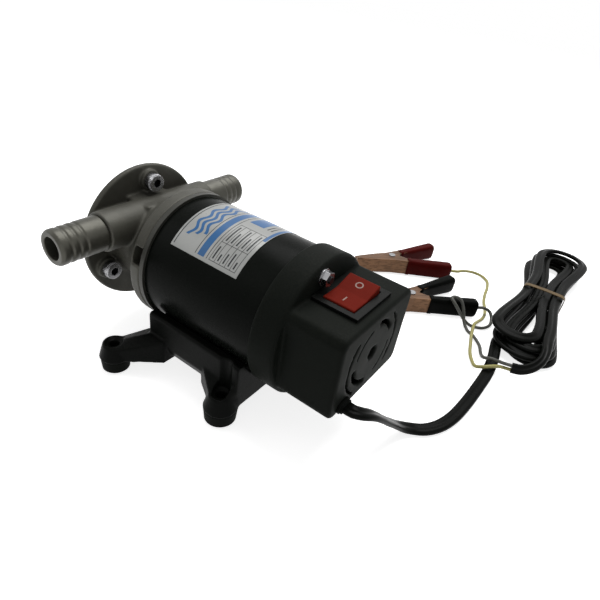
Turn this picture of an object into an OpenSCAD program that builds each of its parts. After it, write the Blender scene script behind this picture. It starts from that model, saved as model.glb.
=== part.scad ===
// Self-priming 12 V transfer and bilge pump, with its battery lead and clamps.
// +X runs along the motor towards the switch, -Y is the inlet side, +Z is up.
// The origin lies on the floor, midway between the two rear fixing holes.

/* [Motor] */
// Diameter of the motor can
can_d = 76; // [75.6:0.1:76.4]
// Length of the motor can
can_len = 86.6; // [86:0.2:87]
// Wall of the motor can
can_wall = 2; // [1.6:0.1:2.2]
// Height of the motor axis above the floor
axis_h = 56; // [55:0.5:58]
// Diameter of the motor shaft
shaft_d = 8; // [7.6:0.1:8]
// Number of slots in the armature
slot_count = 12; // [8:1:14]

/* [Pump head] */
// Diameter of the pump flange and cover
flange_d = 87; // [86:0.5:88]
// Number of screws that hold the cover
cover_screw_count = 3; // [3]
// Radius of the circle of cover screws
cover_screw_r = 34.2; // [34:0.1:34.4]
// Number of blades on the impeller
blade_count = 14; // [8:1:16]
// Height of the two ports above the motor axis
port_rise = 16; // [15:0.5:17]
// Distance from the centre plane to the mouth of a hose tail
port_reach = 69; // [67:0.5:71]
// Outer diameter of a hose tail
barb_d = 20.4; // [20:0.1:20.6]
// Bore of a hose tail
tail_bore_d = 13; // [12:0.2:13]

/* [End cap] */
// Width of the boxed part of the cap
cap_w = 68; // [67:0.5:70]
// Height of the cap's flat top above the motor axis
cap_top = 25; // [24.5:0.1:25.5]
// Depth of the cap's flat bottom below the motor axis
cap_bottom = 23; // [22.6:0.1:23]
// Wall of the cap
cap_wall = 3; // [2.6:0.1:3]

/* [Base] */
// Distance between the two rear fixing holes
rear_spacing = 111; // [110:1:116]
// Distance between the two front fixing holes
front_spacing = 85; // [84:1:88]
// Distance from the rear pair of holes to the front pair
feet_pitch = 72; // [70:1:73]
// Diameter of a fixing hole
fix_hole_d = 5.5; // [5:0.1:6]

/* [Lead] */
// Width of the flat twin lead
lead_w = 8; // [7.8:0.1:8.2]
// Thickness of the flat twin lead
lead_t = 3.8; // [3.6:0.1:3.8]
// Diameter of a single wire
wire_d = 2.4; // [2:0.1:2.6]

/* [Hidden] */
$fn = 64;
eps = 0.01;

// --- Stations along the motor axis ---
cover_back_x = -50;
cover_rim_x = -45;
cover_r = 38;
flange_back_x = -41;
flange_front_x = -37.4;
pad_x = -34.5;
ring_back_x = -3;
plate_x = 4.6;
can_x = 7.4;
can_end_x = can_x + can_len;
collar_x = 84;
step_x = 100;
face_x = 132;
port_x = -27;

// --- Pump chamber ---
chamber_r = 27.5;
chamber_front_x = -39;
chamber_back_x = -46;
impeller_r = chamber_r - 0.9;
seal_r = 8.5;
seal_x = [-36.5, -28.5];
cover_screw_start = 5.5;
cover_screw_len = 9.3;
cover_screw_thread_r = 3;
o_ring_r = 30;
o_ring_wire = 2;
lantern_r = 40;
window_w = 10.3;
window_angles = [108.5, 198.5, 288.5];
tail_root_y = 40;
tail_thread_r = 8.4;
tail_thread_len = 10;
tail_len = port_reach - tail_root_y;

// --- Motor interior ---
can_r = can_d / 2;
shaft_r = shaft_d / 2;
bearing_r = 11;
bearing_len = 7;
front_bearing_x = 8;
rear_bearing_x = 86;
core_r = 26;
core_x = [27, 65];
commutator_r = 11;
commutator_x = [75, 84];
brush_w = 6;
brush_x = 76.5;
brush_out_r = 23;
tie_r = 33.6;
tie_thread_r = 2;
tie_angles = [-11, 169];

// --- End cap ---
collar_r = 40.6;
cap_corner_r = 5;
cap_round_r = 40;
switch_c = [114, 0];
bezel = [26, 33];
cutout = [21.6, 27.8];
rocker = [17.4, 24.6];
rocker_pivot_z = axis_h + cap_top - 1.2;
rocker_pin_r = 1.5;
rocker_tilt = 8;
vent_c = [-1, 1.5];
vent_outer_r = 23;
vent_inner_r = 17;

// --- Base ---
pad_t = 1.4;
saddle_x = [12, 80];
saddle_z = 9;
foot_h = 8;
boss_top_z = 18;
wing_top_z = 38;
wing_y = 40;
screw_well_r = 4.8;
base_screw_x = [24, 68];
base_screw_r = 2;
rear_foot_y = rear_spacing / 2;
front_foot_y = front_spacing / 2;

// --- Lead ---
gland_c = [-22.5, 37.3];
gland_tip_x = face_x + 2.5;
lead_side_count = 8;
// Points of the free stretch, from the gland to the hank
cord_route = [
  [gland_tip_x, gland_c[0], gland_c[1]], [138.5, -22.5, 37.3], [142.2, -19.6, 36.2], [145, -14, 33],
  [147, -7.2, 27.2], [148.5, 0, 20.2], [150.4, 8.8, 12.2], [153.4, 16.6, 5.6], [158, 22.4, 2.6],
  [164.2, 27.8, 2.1], [169.6, 36.4, 2.1], [173, 48, 2.1], [174.6, 62, 2.1], [175.3, 76, 2.1],
  [175.6, 89.4, 2.1], [175.7, 100, 2.2], [175.7, 110, 2.6], [175.2, 119, 3.5], [173.6, 127, 4.3], [170.6, 133, 5]
];
// The lead lies flat up to this point of its route, and stands on edge from the second
twist_from = 14;
twist_to = 20;

// --- Hank ---
hank_c = [180.5, 232];
hank_turn = 96;
hank_run = 84;
hank_fold_r = 10.5;
hank_pitch = 4.9;
hank_loops_in = 2.5;
hank_rings = 24;
hank_low_z = lead_w / 2 + 1.2;
hank_layer = lead_w + 0.6;
hank_last = 112;
hank_waist = 8;
// Way off the hank, round its near fold: [angle in the fold, distance from its centre, height]
hank_tail = [[22.5, 21.5, 13.8], [42, 24, 13.4], [60, 26, 10.6], [76, 27.5, 7.4], [90, 29, 5.3], [101, 31, 5.2]];
band_gap = 0.5;
band_t = 0.7;
band_w = 4;
band_u = -12;

// --- Single wires ---
yellow_route = [
  [179.8, 112.6, 5.4], [176, 107.4, 6.4], [171.4, 104, 5.2], [166.8, 105, 2.4], [163, 110, 1.3],
  [158.6, 118, 1.3], [155.4, 127, 2.4], [152.6, 134.6, 4.2], [149.4, 150, 4.2], [149.6, 158, 2.4], [150.6, 166, 1.3],
  [150.2, 174, 1.3], [147.4, 183, 1.3], [143.4, 192, 1.3], [140.2, 204, 1.3], [137.6, 218, 1.3],
  [133.4, 229, 1.3], [126.6, 233.6, 1.6], [120, 231, 3], [115.6, 224, 5.2], [112.6, 216.8, 7]
];
grey_route = [
  [178, 114.8, 7.5], [173.4, 113.4, 7.8], [168.4, 115.8, 4.4], [164.8, 123, 1.4], [161, 131, 1.3],
  [154, 138.6, 1.3], [147, 143, 1.3], [142, 147, 4.6], [138.4, 150.4, 11], [133, 153.2, 17],
  [128.6, 153.2, 17.3], [127.2, 149.6, 17.3], [131, 146.6, 16], [136.8, 146, 11], [141.6, 149, 4.4], [146, 150.8, 1.3],
  [151, 151.6, 1.3], [155.4, 155, 1.3], [158, 162.4, 1.3], [156.8, 170, 2.4], [152.8, 174.2, 5.6]
];

// --- Clamps ---
clamp_mid_z = 7.5;
clamp_half_angle = 14;
jaw_len = 33;
handle_len = 50;
sleeve_start = 13;
clamp_plate = 1;
handle_mid = 5.1;
fixed_plate_z = [1.2, 13.8];
moving_plate_z = [2.8, 12.2];
rivet_r = 1.5;
red_pivot = [60.5, 180];
red_turn = 51.5;
black_pivot = [100, 138];
black_turn = 54.5;

// --- Helpers: placing ---

// Puts a shape drawn about local Z on the motor axis, local Z running along +X
module on_axis(x = 0) {
  translate([x, 0, axis_h]) rotate([0, 90, 0]) children();
}

// Places a shape on the motor axis at radius r and clock angle a, from +Z towards +Y
module clock(r, a) {
  rotate([0, 0, 180 - a]) translate([r, 0, 0]) children();
}

// Turned solid about the motor axis, from [radius, x] points
module turned(points) {
  on_axis() rotate_extrude($fn = 96) polygon(points);
}

// Plain ring about the motor axis
module ring(x0, x1, r_out, r_in) {
  turned([[r_in, x0], [r_out, x0], [r_out, x1], [r_in, x1]]);
}

// Round bar or bore about the motor axis
module bar(x0, x1, r) {
  on_axis(x0) cylinder(r = r, h = x1 - x0, $fn = 64);
}

// Section across the motor axis, drawn in [Y, Z from the axis], from x0 to x1
module section(x0, x1) {
  translate([x0, 0, axis_h]) rotate([90, 0, 90]) linear_extrude(x1 - x0) children();
}

// Rounded rectangle from corner a to corner b
module round_rect(a, b, r) {
  translate([a[0] + r, a[1]]) square([b[0] - a[0] - 2 * r, b[1] - a[1]]);
  translate([a[0], a[1] + r]) square([b[0] - a[0], b[1] - a[1] - 2 * r]);
  for (x = [a[0] + r, b[0] - r], y = [a[1] + r, b[1] - r]) translate([x, y]) circle(r = r, $fn = 32);
}

// Sector from angle a0 to a1 of the ring between r0 and r1
module arc_slot(r0, r1, a0, a1) {
  reach = 2 * r1;
  mid = (a0 + a1) / 2;
  intersection() {
    difference() {
      circle(r = r1, $fn = 96);
      circle(r = r0, $fn = 96);
    }
    polygon([[0, 0], reach * [cos(a0), sin(a0)], reach * [cos(mid), sin(mid)], reach * [cos(a1), sin(a1)]]);
  }
}

// --- Helpers: swept tubes ---

function unit(v) = v / norm(v);
function last(list) = len(list) - 1;
function smooth(t) = t <= 0 ? 0 : t >= 1 ? 1 : t * t * (3 - 2 * t);

// Direction of a path at point i
function heading(path, i) =
  unit(path[min(i + 1, last(path))] - path[max(i - 1, 0)]);

// Level direction across a path, +Y where the path runs straight up or down
function across(t) = norm([t[0], t[1]]) < 0.15 ? [0, 1, 0] : unit([-t[1], t[0], 0]);

// Ring of n points round point i: w across and h upwards, rolled by turn
function ring_points(path, i, w, h, turn, n) =
  let (t = i == 0 ? unit(path[1] - path[0])
    : i == last(path) ? unit(path[i] - path[i - 1])
    : heading(path, i))
  let (a = across(t), b = cross(t, a))
  [for (k = [0 : n - 1])
    let (q = 360 * (k + 0.5) / n, u = w / 2 * cos(q), v = h / 2 * sin(q))
    path[i] + (u * cos(turn) - v * sin(turn)) * a + (u * sin(turn) + v * cos(turn)) * b];

// Closed tube along a path, with triangles only
module tube(path, w, h, turns, n) {
  m = len(path);
  points = [for (i = [0 : m - 1]) each ring_points(path, i, w, h, turns[i], n)];
  sides = [for (i = [0 : m - 2], k = [0 : n - 1])
    let (a = i * n + k, b = i * n + (k + 1) % n)
    each [[a, a + n, b], [b, a + n, b + n]]];
  ends = [for (k = [1 : n - 2]) each [[0, k, k + 1], [(m - 1) * n, (m - 1) * n + k + 1, (m - 1) * n + k]]];
  polyhedron(points = points, faces = concat(sides, ends));
}

// --- Pump head ---

module cover_screw_places() {
  for (i = [0 : cover_screw_count - 1])
    on_axis() clock(cover_screw_r, cover_screw_start + i * 360 / cover_screw_count) children();
}

module pump_cover() {
  color("dimgray") difference() {
    union() {
      turned([[0, cover_back_x], [26, cover_back_x], [30, cover_back_x + 1.5], [33, cover_rim_x - 0.6],
        [cover_r - 0.6, cover_rim_x], [cover_r, cover_rim_x + 0.6], [cover_r, flange_back_x],
        [0, flange_back_x]]);
      bar(cover_back_x - 2, cover_back_x + 1, 9);
    }
    bar(chamber_back_x, flange_back_x + 1, chamber_r);
    ring(flange_back_x - 1.5, flange_back_x + 1, o_ring_r + 1, o_ring_r - 1);
    cover_screw_places() translate([0, 0, cover_rim_x + 1]) cylinder(r = cover_screw_thread_r, h = 4);
  }
}

module cover_o_ring() {
  color("black") ring(flange_back_x - 1.5, flange_back_x, o_ring_r + 0.9, o_ring_r - 0.9);
}

// Screw head, shank and hexagon socket, pointing along -Z from the seat at z = 0
module socket_screw(r, length, head_r, head_h, key) {
  difference() {
    union() {
      translate([0, 0, -length]) cylinder(r = r, h = length + eps);
      cylinder(r = head_r, h = head_h);
    }
    translate([0, 0, head_h * 0.45]) cylinder(r = key / sqrt(3), h = head_h, $fn = 6);
  }
}

module cover_screws() {
  color("silver") cover_screw_places()
    translate([0, 0, pad_x]) socket_screw(cover_screw_thread_r, cover_screw_len, 5, 5.5, 5);
}

// Local Z runs along Y at the height of the ports
module port_axis() {
  translate([port_x, 0, axis_h + port_rise]) rotate([-90, 0, 0]) children();
}

module pump_housing() {
  color("gray") difference() {
    union() {
      turned([[0, flange_back_x], [flange_d / 2 - 0.6, flange_back_x], [flange_d / 2, flange_back_x + 0.8],
        [flange_d / 2, flange_front_x - 1], [flange_d / 2 - 0.8, flange_front_x], [0, flange_front_x]]);
      cover_screw_places() translate([0, 0, flange_front_x - 1])
        cylinder(r = 6.6, h = pad_x - flange_front_x + 1);
      turned([[0, flange_front_x - 1], [28, flange_front_x - 1], [27, -34], [27.4, -20], [29.4, -10], [31, -6],
        [33.5, ring_back_x - 0.6], [37, ring_back_x + 1], [0, ring_back_x + 1]]);
      turned([[20, ring_back_x], [lantern_r - 0.8, ring_back_x], [lantern_r, ring_back_x + 0.8],
        [lantern_r, plate_x], [20, plate_x]]);
      port_axis() translate([0, 0, -tail_root_y]) cylinder(r = 11.6, h = 2 * tail_root_y);
      section(flange_front_x - 1, -18) translate([-13, 4]) square([26, 23]);
    }
    // Chamber, shaft and seal
    bar(flange_back_x - 1, chamber_front_x, chamber_r);
    bar(flange_back_x, 0, shaft_r + 0.6);
    bar(seal_x[0], 0, seal_r);
    // Lantern between the seal and the motor, with its windows
    turned([[0, -24.5], [17, -24.5], [22.5, -19], [24.5, -9], [33, -1], [33, plate_x + 1], [0, plate_x + 1]]);
    on_axis() for (a = window_angles) clock(0, a)
      translate([26, -window_w / 2, ring_back_x + 1]) cube([20, window_w, plate_x - ring_back_x]);
    // Holes for the cover screws and tie bolts
    cover_screw_places() translate([0, 0, flange_back_x - 1]) cylinder(r = cover_screw_thread_r + 0.2, h = 12);
    on_axis() for (a = tie_angles) clock(tie_r, a)
      translate([0, 0, ring_back_x]) cylinder(r = tie_thread_r + 0.2, h = 9);
    on_axis() for (a = tie_angles) clock(tie_r, a) translate([0, 0, -14.5]) cylinder(r = 4.4, h = 12.5);
    // Port threads, passages and ways into the chamber
    port_axis() for (s = [-1, 1]) {
      translate([0, 0, s * (tail_root_y - tail_thread_len / 2 + 0.5) - tail_thread_len / 2 - 0.5])
        cylinder(r = tail_thread_r, h = tail_thread_len + 1);
      translate([0, 0, s > 0 ? 7 : -tail_root_y]) cylinder(r = tail_bore_d / 2 - 0.5, h = tail_root_y - 7);
    }
    for (s = [-1, 1]) translate([flange_back_x, s * 13, axis_h + port_rise]) rotate([0, 90, 0])
      cylinder(r = 5, h = 14);
  }
}

// Hose tail, drawn from its root at z = 0 to its mouth, with its thread below the root
module hose_tail() {
  r = barb_d / 2;
  groove = 0.45;
  difference() {
    union() {
      translate([0, 0, -tail_thread_len]) cylinder(r = tail_thread_r, h = tail_thread_len + eps);
      rotate_extrude($fn = 72) polygon(concat([[0, 0], [r - 0.4, 0], [r, 0.4]],
        [for (z = [13, 17.4, 21.8]) each [[r, z], [r - groove, z + 0.3], [r - groove, z + 1.3], [r, z + 2.4]]],
        [[r, tail_len - 1.6], [r - 1, tail_len], [0, tail_len]]));
    }
    translate([0, 0, -tail_thread_len - 1]) cylinder(r = tail_bore_d / 2, h = tail_len + tail_thread_len + 2);
  }
}

module inlet_tail() {
  color("gray") port_axis() rotate([180, 0, 0]) translate([0, 0, tail_root_y]) hose_tail();
}

module outlet_tail() {
  color("gray") port_axis() translate([0, 0, tail_root_y]) hose_tail();
}

module shaft_seal() {
  color("black") difference() {
    ring(seal_x[0], seal_x[1], seal_r, shaft_r + 0.06);
    turned([[shaft_r + 1.4, seal_x[1] - 4], [seal_r - 1.6, seal_x[1] - 4], [seal_r - 1.6, seal_x[1] + 1],
      [shaft_r + 1.4, seal_x[1] + 1]]);
  }
}

module star_impeller() {
  x0 = chamber_back_x + 0.5;
  x1 = chamber_front_x - 0.5;
  color("goldenrod") difference() {
    union() {
      bar(x0, x1, 10);
      on_axis(x0) linear_extrude(x1 - x0)
        for (i = [0 : blade_count - 1]) rotate(i * 360 / blade_count)
          polygon([[8, -2.6], [16, -1.7], [impeller_r, -1.1], [impeller_r, 1.1], [16, 1.7], [8, 2.6]]);
      bar((x0 + x1) / 2 - 1.2, (x0 + x1) / 2 + 1.2, 15);
    }
    bar(x0 - 1, x1 + 1, shaft_r);
  }
}

module slinger() {
  color("black") turned([[shaft_r, -21], [6, -21], [6.4, -19.4], [13, -18.4], [13, -17], [6.4, -16], [6, -13],
    [shaft_r, -13]]);
}

// --- Motor ---

module motor_shaft() {
  color("silver") bar(chamber_back_x + 0.6, 97, shaft_r);
}

module front_plate() {
  color("gray") difference() {
    union() {
      ring(plate_x, can_x, lantern_r - 0.3, shaft_r + 3);
      ring(can_x, front_bearing_x + bearing_len + 1, bearing_r + 3, shaft_r + 3);
      ring(can_x, can_x + 3, can_r - can_wall, 30);
    }
    bar(front_bearing_x, 30, bearing_r);
    on_axis() for (a = tie_angles) clock(tie_r, a) translate([0, 0, 2]) cylinder(r = tie_thread_r + 0.2, h = 9);
  }
}

module motor_can() {
  color("black") difference() {
    ring(can_x, can_end_x, can_r, can_r - can_wall);
    for (x = base_screw_x) translate([x, 0, axis_h - can_r - 1]) cylinder(r = base_screw_r, h = 2 * can_wall);
  }
}

module field_magnets() {
  color("dimgray") section(23, 69) for (s = [0, 180]) rotate(s)
    arc_slot(core_r + 1, can_r - can_wall, -60, 60);
}

// Ball bearing as its two rings with the balls between them
module bearing(x) {
  mid = (bearing_r + shaft_r) / 2;
  color("silver") {
    difference() {
      ring(x, x + bearing_len, bearing_r, shaft_r + 0.03);
      ring(x - 1, x + 1.2, mid + 1.6, mid - 1.6);
      ring(x + bearing_len - 1.2, x + bearing_len + 1, mid + 1.6, mid - 1.6);
    }
  }
}

module front_bearing() { bearing(front_bearing_x); }

module rear_bearing() { bearing(rear_bearing_x); }

module rear_plate() {
  color("gray") difference() {
    ring(rear_bearing_x - 1, can_end_x, can_r - can_wall, shaft_r + 3);
    bar(rear_bearing_x, can_end_x + 1, bearing_r);
    on_axis() for (a = tie_angles) clock(tie_r, a)
      translate([0, 0, rear_bearing_x - 2]) cylinder(r = tie_thread_r + 0.2, h = 12);
    ring(rear_bearing_x + 3, can_end_x + 1, 30, 14);
  }
}

// Laminated stack with its open slots
module armature_core() {
  color("slategray") difference() {
    bar(core_x[0], core_x[1], core_r);
    bar(core_x[0] - 1, core_x[1] + 1, shaft_r);
    on_axis(core_x[0] - 1) linear_extrude(core_x[1] - core_x[0] + 2)
      for (i = [0 : slot_count - 1]) rotate(i * 360 / slot_count) {
        translate([core_r - 3, -1]) square([4, 2]);
        translate([core_r - 7.5, 0]) circle(r = 4, $fn = 24);
      }
  }
}

// Copper in the slots and the rounded bundles at both ends
module armature_winding() {
  color("peru") {
    on_axis(core_x[0] - 1) linear_extrude(core_x[1] - core_x[0] + 2)
      for (i = [0 : slot_count - 1]) rotate(i * 360 / slot_count)
        translate([core_r - 7.5, 0]) circle(r = 3.6, $fn = 24);
    for (x = [[core_x[0] - 9, core_x[0]], [core_x[1], core_x[1] + 9]])
      turned([[shaft_r, x[0]], [15, x[0]], [21, x[0] + 1.8], [23, x[0] + 4.5], [22.4, x[1]], [shaft_r, x[1]]]);
  }
}

module commutator() {
  color("peru") difference() {
    bar(commutator_x[0], commutator_x[1], commutator_r);
    bar(commutator_x[0] - 1, commutator_x[1] + 1, shaft_r);
    on_axis(commutator_x[0] + 1.5) linear_extrude(commutator_x[1] - commutator_x[0])
      for (i = [0 : slot_count - 1]) rotate(i * 360 / slot_count)
        translate([commutator_r - 1.2, -0.3]) square([3, 0.6]);
  }
}

module brushes() {
  color("dimgray") on_axis(brush_x) for (a = [90, 270]) clock(0, a)
    translate([commutator_r + 0.3, -brush_w / 2, 0]) cube([10, brush_w, 6]);
}

module brush_holders() {
  color("tan") difference() {
    union() {
      ring(83.4, 85, can_r - can_wall, 14);
      on_axis(brush_x - 1.2) for (a = [90, 270]) clock(0, a)
        translate([commutator_r + 2.6, -brush_w / 2 - 1.2, 0]) cube([19, brush_w + 2.4, 8.4]);
    }
    on_axis(brush_x) for (a = [90, 270]) clock(0, a)
      translate([commutator_r, -brush_w / 2, 0]) cube([20, brush_w, 6]);
    on_axis() for (a = tie_angles) clock(tie_r, a) translate([0, 0, 82]) cylinder(r = tie_thread_r + 0.2, h = 6);
  }
}

// Spring behind each brush, wound as one wire
module brush_springs() {
  turns = 4;
  rings = 8;
  r = 2.2;
  len_r = 8;
  path = [for (i = [0 : turns * rings])
    [len_r * i / (turns * rings), r * cos(360 * i / rings), r * sin(360 * i / rings)]];
  color("silver") on_axis(brush_x + 3) for (a = [90, 270]) clock(0, a)
    translate([commutator_r + 10.8, 0, 0]) tube(path, 0.7, 0.7, [for (p = path) 0], 6);
}

module tie_bolts() {
  color("silver") on_axis() for (a = tie_angles) clock(tie_r, a) translate([0, 0, -2])
    rotate([180, 0, 0]) socket_screw(tie_thread_r, step_x + 7, 3.6, 4, 3);
}

module tie_nuts() {
  color("silver") on_axis(step_x) for (a = tie_angles) clock(tie_r, a) difference() {
    union() {
      cylinder(r = 4.5, h = 0.9);
      cylinder(r = 7 / sqrt(3), h = 4.1, $fn = 6);
    }
    translate([0, 0, -1]) cylinder(r = tie_thread_r, h = 6);
  }
}

// --- End cap and switch ---

// Outline of the boxed part of the cap, drawn in by d
module cap_outline(d) {
  intersection() {
    circle(r = cap_round_r - d, $fn = 128);
    round_rect([-cap_w / 2 + d, -cap_bottom + d], [cap_w / 2 - d, cap_top - d], cap_corner_r - min(d, 2));
  }
}

// Flattened outline of the gland, with half width and half height size, in [Y, Z from the axis]
module gland_outline(size) {
  c = gland_c - [0, axis_h];
  round_rect(c - size, c + size, size[1] - 0.1);
}

module end_cap() {
  color("black") difference() {
    union() {
      turned([[can_r, collar_x], [collar_r - 1, collar_x], [collar_r, collar_x + 1], [collar_r, step_x - 1],
        [collar_r - 1, step_x], [0, step_x], [0, can_end_x], [can_r, can_end_x]]);
      section(step_x - 1, face_x - 1) cap_outline(0);
      section(face_x - 2, face_x) cap_outline(1);
    }
    // Hollow behind the face
    bar(can_end_x - 1, can_end_x + 3, can_r - 5);
    section(can_end_x + 2, face_x - cap_wall) intersection() {
      circle(r = cap_round_r - cap_wall, $fn = 128);
      translate([cap_wall - cap_w / 2, cap_wall - cap_bottom])
        square([cap_w - 2 * cap_wall, cap_top + cap_bottom - 2 * cap_wall]);
    }
    // Openings for the tie bolts, switch and gland
    on_axis() for (a = tie_angles) clock(tie_r, a)
      translate([0, 0, can_end_x - 1]) cylinder(r = tie_thread_r + 0.2, h = 9);
    translate([switch_c[0] - cutout[0] / 2, -cutout[1] / 2, axis_h + cap_top - cap_wall - 1])
      cube([cutout[0], cutout[1], cap_wall + 2]);
    section(face_x - cap_wall - 1, face_x + 1) gland_outline([4.8, 2.4]);
    // Vents in the face
    section(face_x - cap_wall - 1, face_x + 1) translate(vent_c) {
      arc_slot(vent_outer_r - 0.6, vent_outer_r + 0.6, 139, 235);
      arc_slot(vent_outer_r - 0.6, vent_outer_r + 0.6, -41, 49);
      for (a = [[108, 165], [-66, -5]]) arc_slot(vent_inner_r - 0.5, vent_inner_r + 0.5, a[0], a[1]);
      for (a = [[27, 85], [188, 262]]) arc_slot(vent_inner_r - 1.3, vent_inner_r + 1.3, a[0], a[1]);
      circle(r = 4.2, $fn = 6);
    }
  }
}

// Bezel, barrel and the well in which the rocker tips
module switch_body() {
  top = axis_h + cap_top;
  color("black") translate([switch_c[0], switch_c[1], 0]) difference() {
    union() {
      translate([-bezel[0] / 2, -bezel[1] / 2, top]) cube([bezel[0], bezel[1], 1.8]);
      translate([-cutout[0] / 2, -cutout[1] / 2, top - 17]) cube([cutout[0], cutout[1], 17 + eps]);
      for (x = [-5, 0, 5]) translate([x - 0.4, -3, top - 24]) cube([0.8, 6, 8]);
    }
    translate([-rocker[0] / 2 - 0.4, -rocker[1] / 2 - 0.9, top - 9])
      cube([rocker[0] + 0.8, rocker[1] + 1.8, 12]);
    translate([-cutout[0] / 2 - 1, 0, rocker_pivot_z]) rotate([0, 90, 0])
      cylinder(r = rocker_pin_r + 0.05, h = cutout[0] + 2, $fn = 32);
  }
}

// Rocker at rest: its near end, marked for on, is down
module switch_rocker() {
  w = rocker[0];
  half = rocker[1] / 2;
  color("firebrick") translate([switch_c[0], switch_c[1], rocker_pivot_z]) rotate([rocker_tilt, 0, 0]) {
    translate([-w / 2, 0, 0]) rotate([90, 0, 90]) linear_extrude(w)
      polygon([[-half, 4.9], [-half + 0.6, 5.5], [0, 3.9], [half - 0.6, 5.5], [half, 4.9], [half - 0.9, -1.5],
        [3.2, -5.4], [-3.2, -5.4], [-half + 0.9, -1.5]]);
    translate([-w / 2 - 1.5, 0, 0]) rotate([0, 90, 0]) cylinder(r = rocker_pin_r, h = w + 3, $fn = 32);
  }
}

// Rubber grommet in the cap's face, with its short nose
module cord_gland() {
  color("black") {
    section(face_x - cap_wall, face_x) gland_outline([4.8, 2.4]);
    section(face_x, face_x + 1.3) gland_outline([5.5, 2.9]);
    section(face_x + 1.3, gland_tip_x) gland_outline([4.8, 2.5]);
  }
}

// --- Base ---

// Arm from the boss at c to the saddle, drawn for the near side
module arm(c, root, root_size, root_z) {
  hull() {
    translate([c[0], c[1], foot_h]) cylinder(r = 6.4, h = 7, $fn = 32);
    translate([root[0], root[1], saddle_z]) cube([root_size[0], root_size[1], root_z - saddle_z]);
  }
}

module base_bracket() {
  rear = [0, -rear_foot_y];
  front = [feet_pitch, -front_foot_y];
  color("black") difference() {
    union() {
      // Saddle with its two wings
      section(saddle_x[0], saddle_x[1]) for (s = [0, 1]) mirror([s, 0])
        polygon([[0, saddle_z - axis_h], [30, saddle_z - axis_h], [36.5, 13 - axis_h], [wing_y, 20 - axis_h],
          [wing_y, wing_top_z - 1.2 - axis_h], [wing_y - 1, wing_top_z - axis_h], [34, wing_top_z - axis_h],
          [0, -30]]);
      for (s = [0, 1]) mirror([0, s, 0]) {
        arm(rear, [14, -42, 0], [12, 20, 0], 24);
        arm(front, [52, -38, 0], [28, 20, 0], 26);
        translate([rear[0], rear[1], foot_h]) cylinder(r1 = 9.2, r2 = 6.4, h = boss_top_z - foot_h);
        translate([front[0], front[1], foot_h]) cylinder(r1 = 10, r2 = 6.6, h = boss_top_z - foot_h);
      }
    }
    bar(saddle_x[0] - 6, saddle_x[1] + 6, can_r + pad_t);
    // Pocket under the saddle
    translate([saddle_x[0] + 8, -20, 0]) cube([saddle_x[1] - saddle_x[0] - 16, 40, saddle_z + 3]);
    for (s = [0, 1]) mirror([0, s, 0]) for (c = [rear, front]) translate([c[0], c[1], 0]) {
      translate([0, 0, foot_h - 1]) cylinder(r = fix_hole_d / 2, h = boss_top_z - foot_h);
      translate([0, 0, boss_top_z - 1.2]) cylinder(r = screw_well_r, h = 30);
    }
    for (x = base_screw_x) translate([x, 0, 0]) cylinder(r = 2.2, h = 30);
  }
}

module saddle_pad() {
  color("dimgray") difference() {
    section(saddle_x[0] + 2, saddle_x[1] - 2) rotate(-90) arc_slot(can_r, can_r + pad_t, -52, 52);
    for (x = base_screw_x) translate([x, 0, 0]) cylinder(r = 2.2, h = 30);
  }
}

// Two screws that hold the can down on the saddle
module base_screws() {
  color("silver") for (x = base_screw_x) translate([x, 0, 0]) {
    translate([0, 0, saddle_z + 3]) cylinder(r = base_screw_r, h = axis_h - can_r + can_wall - saddle_z - 2);
    translate([0, 0, saddle_z + 0.6]) cylinder(r = 4, h = 2.4);
  }
}

module rubber_foot(c, r) {
  color("black") translate([c[0], c[1], 0]) difference() {
    rotate_extrude($fn = 64)
      polygon([[0, 0], [r - 1.2, 0], [r - 0.6, 0.6], [r, foot_h - 1], [r, foot_h], [0, foot_h]]);
    translate([0, 0, -1]) cylinder(r = fix_hole_d / 2, h = foot_h + 2);
  }
}

module foot_rear_near() { rubber_foot([0, -rear_foot_y], 8.4); }

module foot_rear_far() { rubber_foot([0, rear_foot_y], 8.4); }

module foot_front_near() { rubber_foot([feet_pitch, -front_foot_y], 9.4); }

module foot_front_far() { rubber_foot([feet_pitch, front_foot_y], 9.4); }

// --- Lead ---

hank_axis = [cos(hank_turn), sin(hank_turn), 0];
hank_side = [-sin(hank_turn), cos(hank_turn), 0];
hank_reverse = hank_loops_in * hank_rings;
fold_steps = 8;
run_steps = 4;

// How far ring i lies out from the innermost loop, in loops
function hank_out(i) =
  i < hank_reverse ? (hank_reverse - i) / hank_rings
  : i < hank_reverse + run_steps ? 0
  : (i - hank_reverse - run_steps) / hank_rings;

// Height of ring i: the lower layer spirals in, the upper one out, with the climb along a run
function hank_z(i) =
  hank_low_z + hank_layer * smooth((i - hank_reverse) / run_steps);

// Draws every loop in alike towards the waist
function hank_draw(u) = hank_waist * pow(cos(90 * min(1, abs(u) / hank_run)), 2);

// Place of ring i in [along, across] of the hank
function hank_flat(i) =
  let (k = i % hank_rings, a = hank_fold_r + hank_pitch * hank_out(i), run = 2 * hank_run / run_steps)
  k < run_steps ? let (u = -hank_run + k * run) [u, a - hank_draw(u)]
  : k < run_steps + fold_steps ? let (q = (k - run_steps) * 180 / fold_steps)
    [hank_run + a * sin(q), a * cos(q)]
  : k < 2 * run_steps + fold_steps ? let (u = hank_run - (k - run_steps - fold_steps) * run)
    [u, -a + hank_draw(u)]
  : let (q = (k - 2 * run_steps - fold_steps) * 180 / fold_steps)
    [-hank_run - a * sin(q), -a * cos(q)];

function hank_point(i) =
  let (p = hank_flat(i))
  [hank_c[0], hank_c[1], hank_z(i)] + p[0] * hank_axis + p[1] * hank_side;

// Point outside the near fold, from its angle, its distance from the fold's centre and its height
function hank_tail_point(t) =
  [hank_c[0], hank_c[1], t[2]] - (hank_run + t[1] * sin(t[0])) * hank_axis - t[1] * cos(t[0]) * hank_side;

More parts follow.
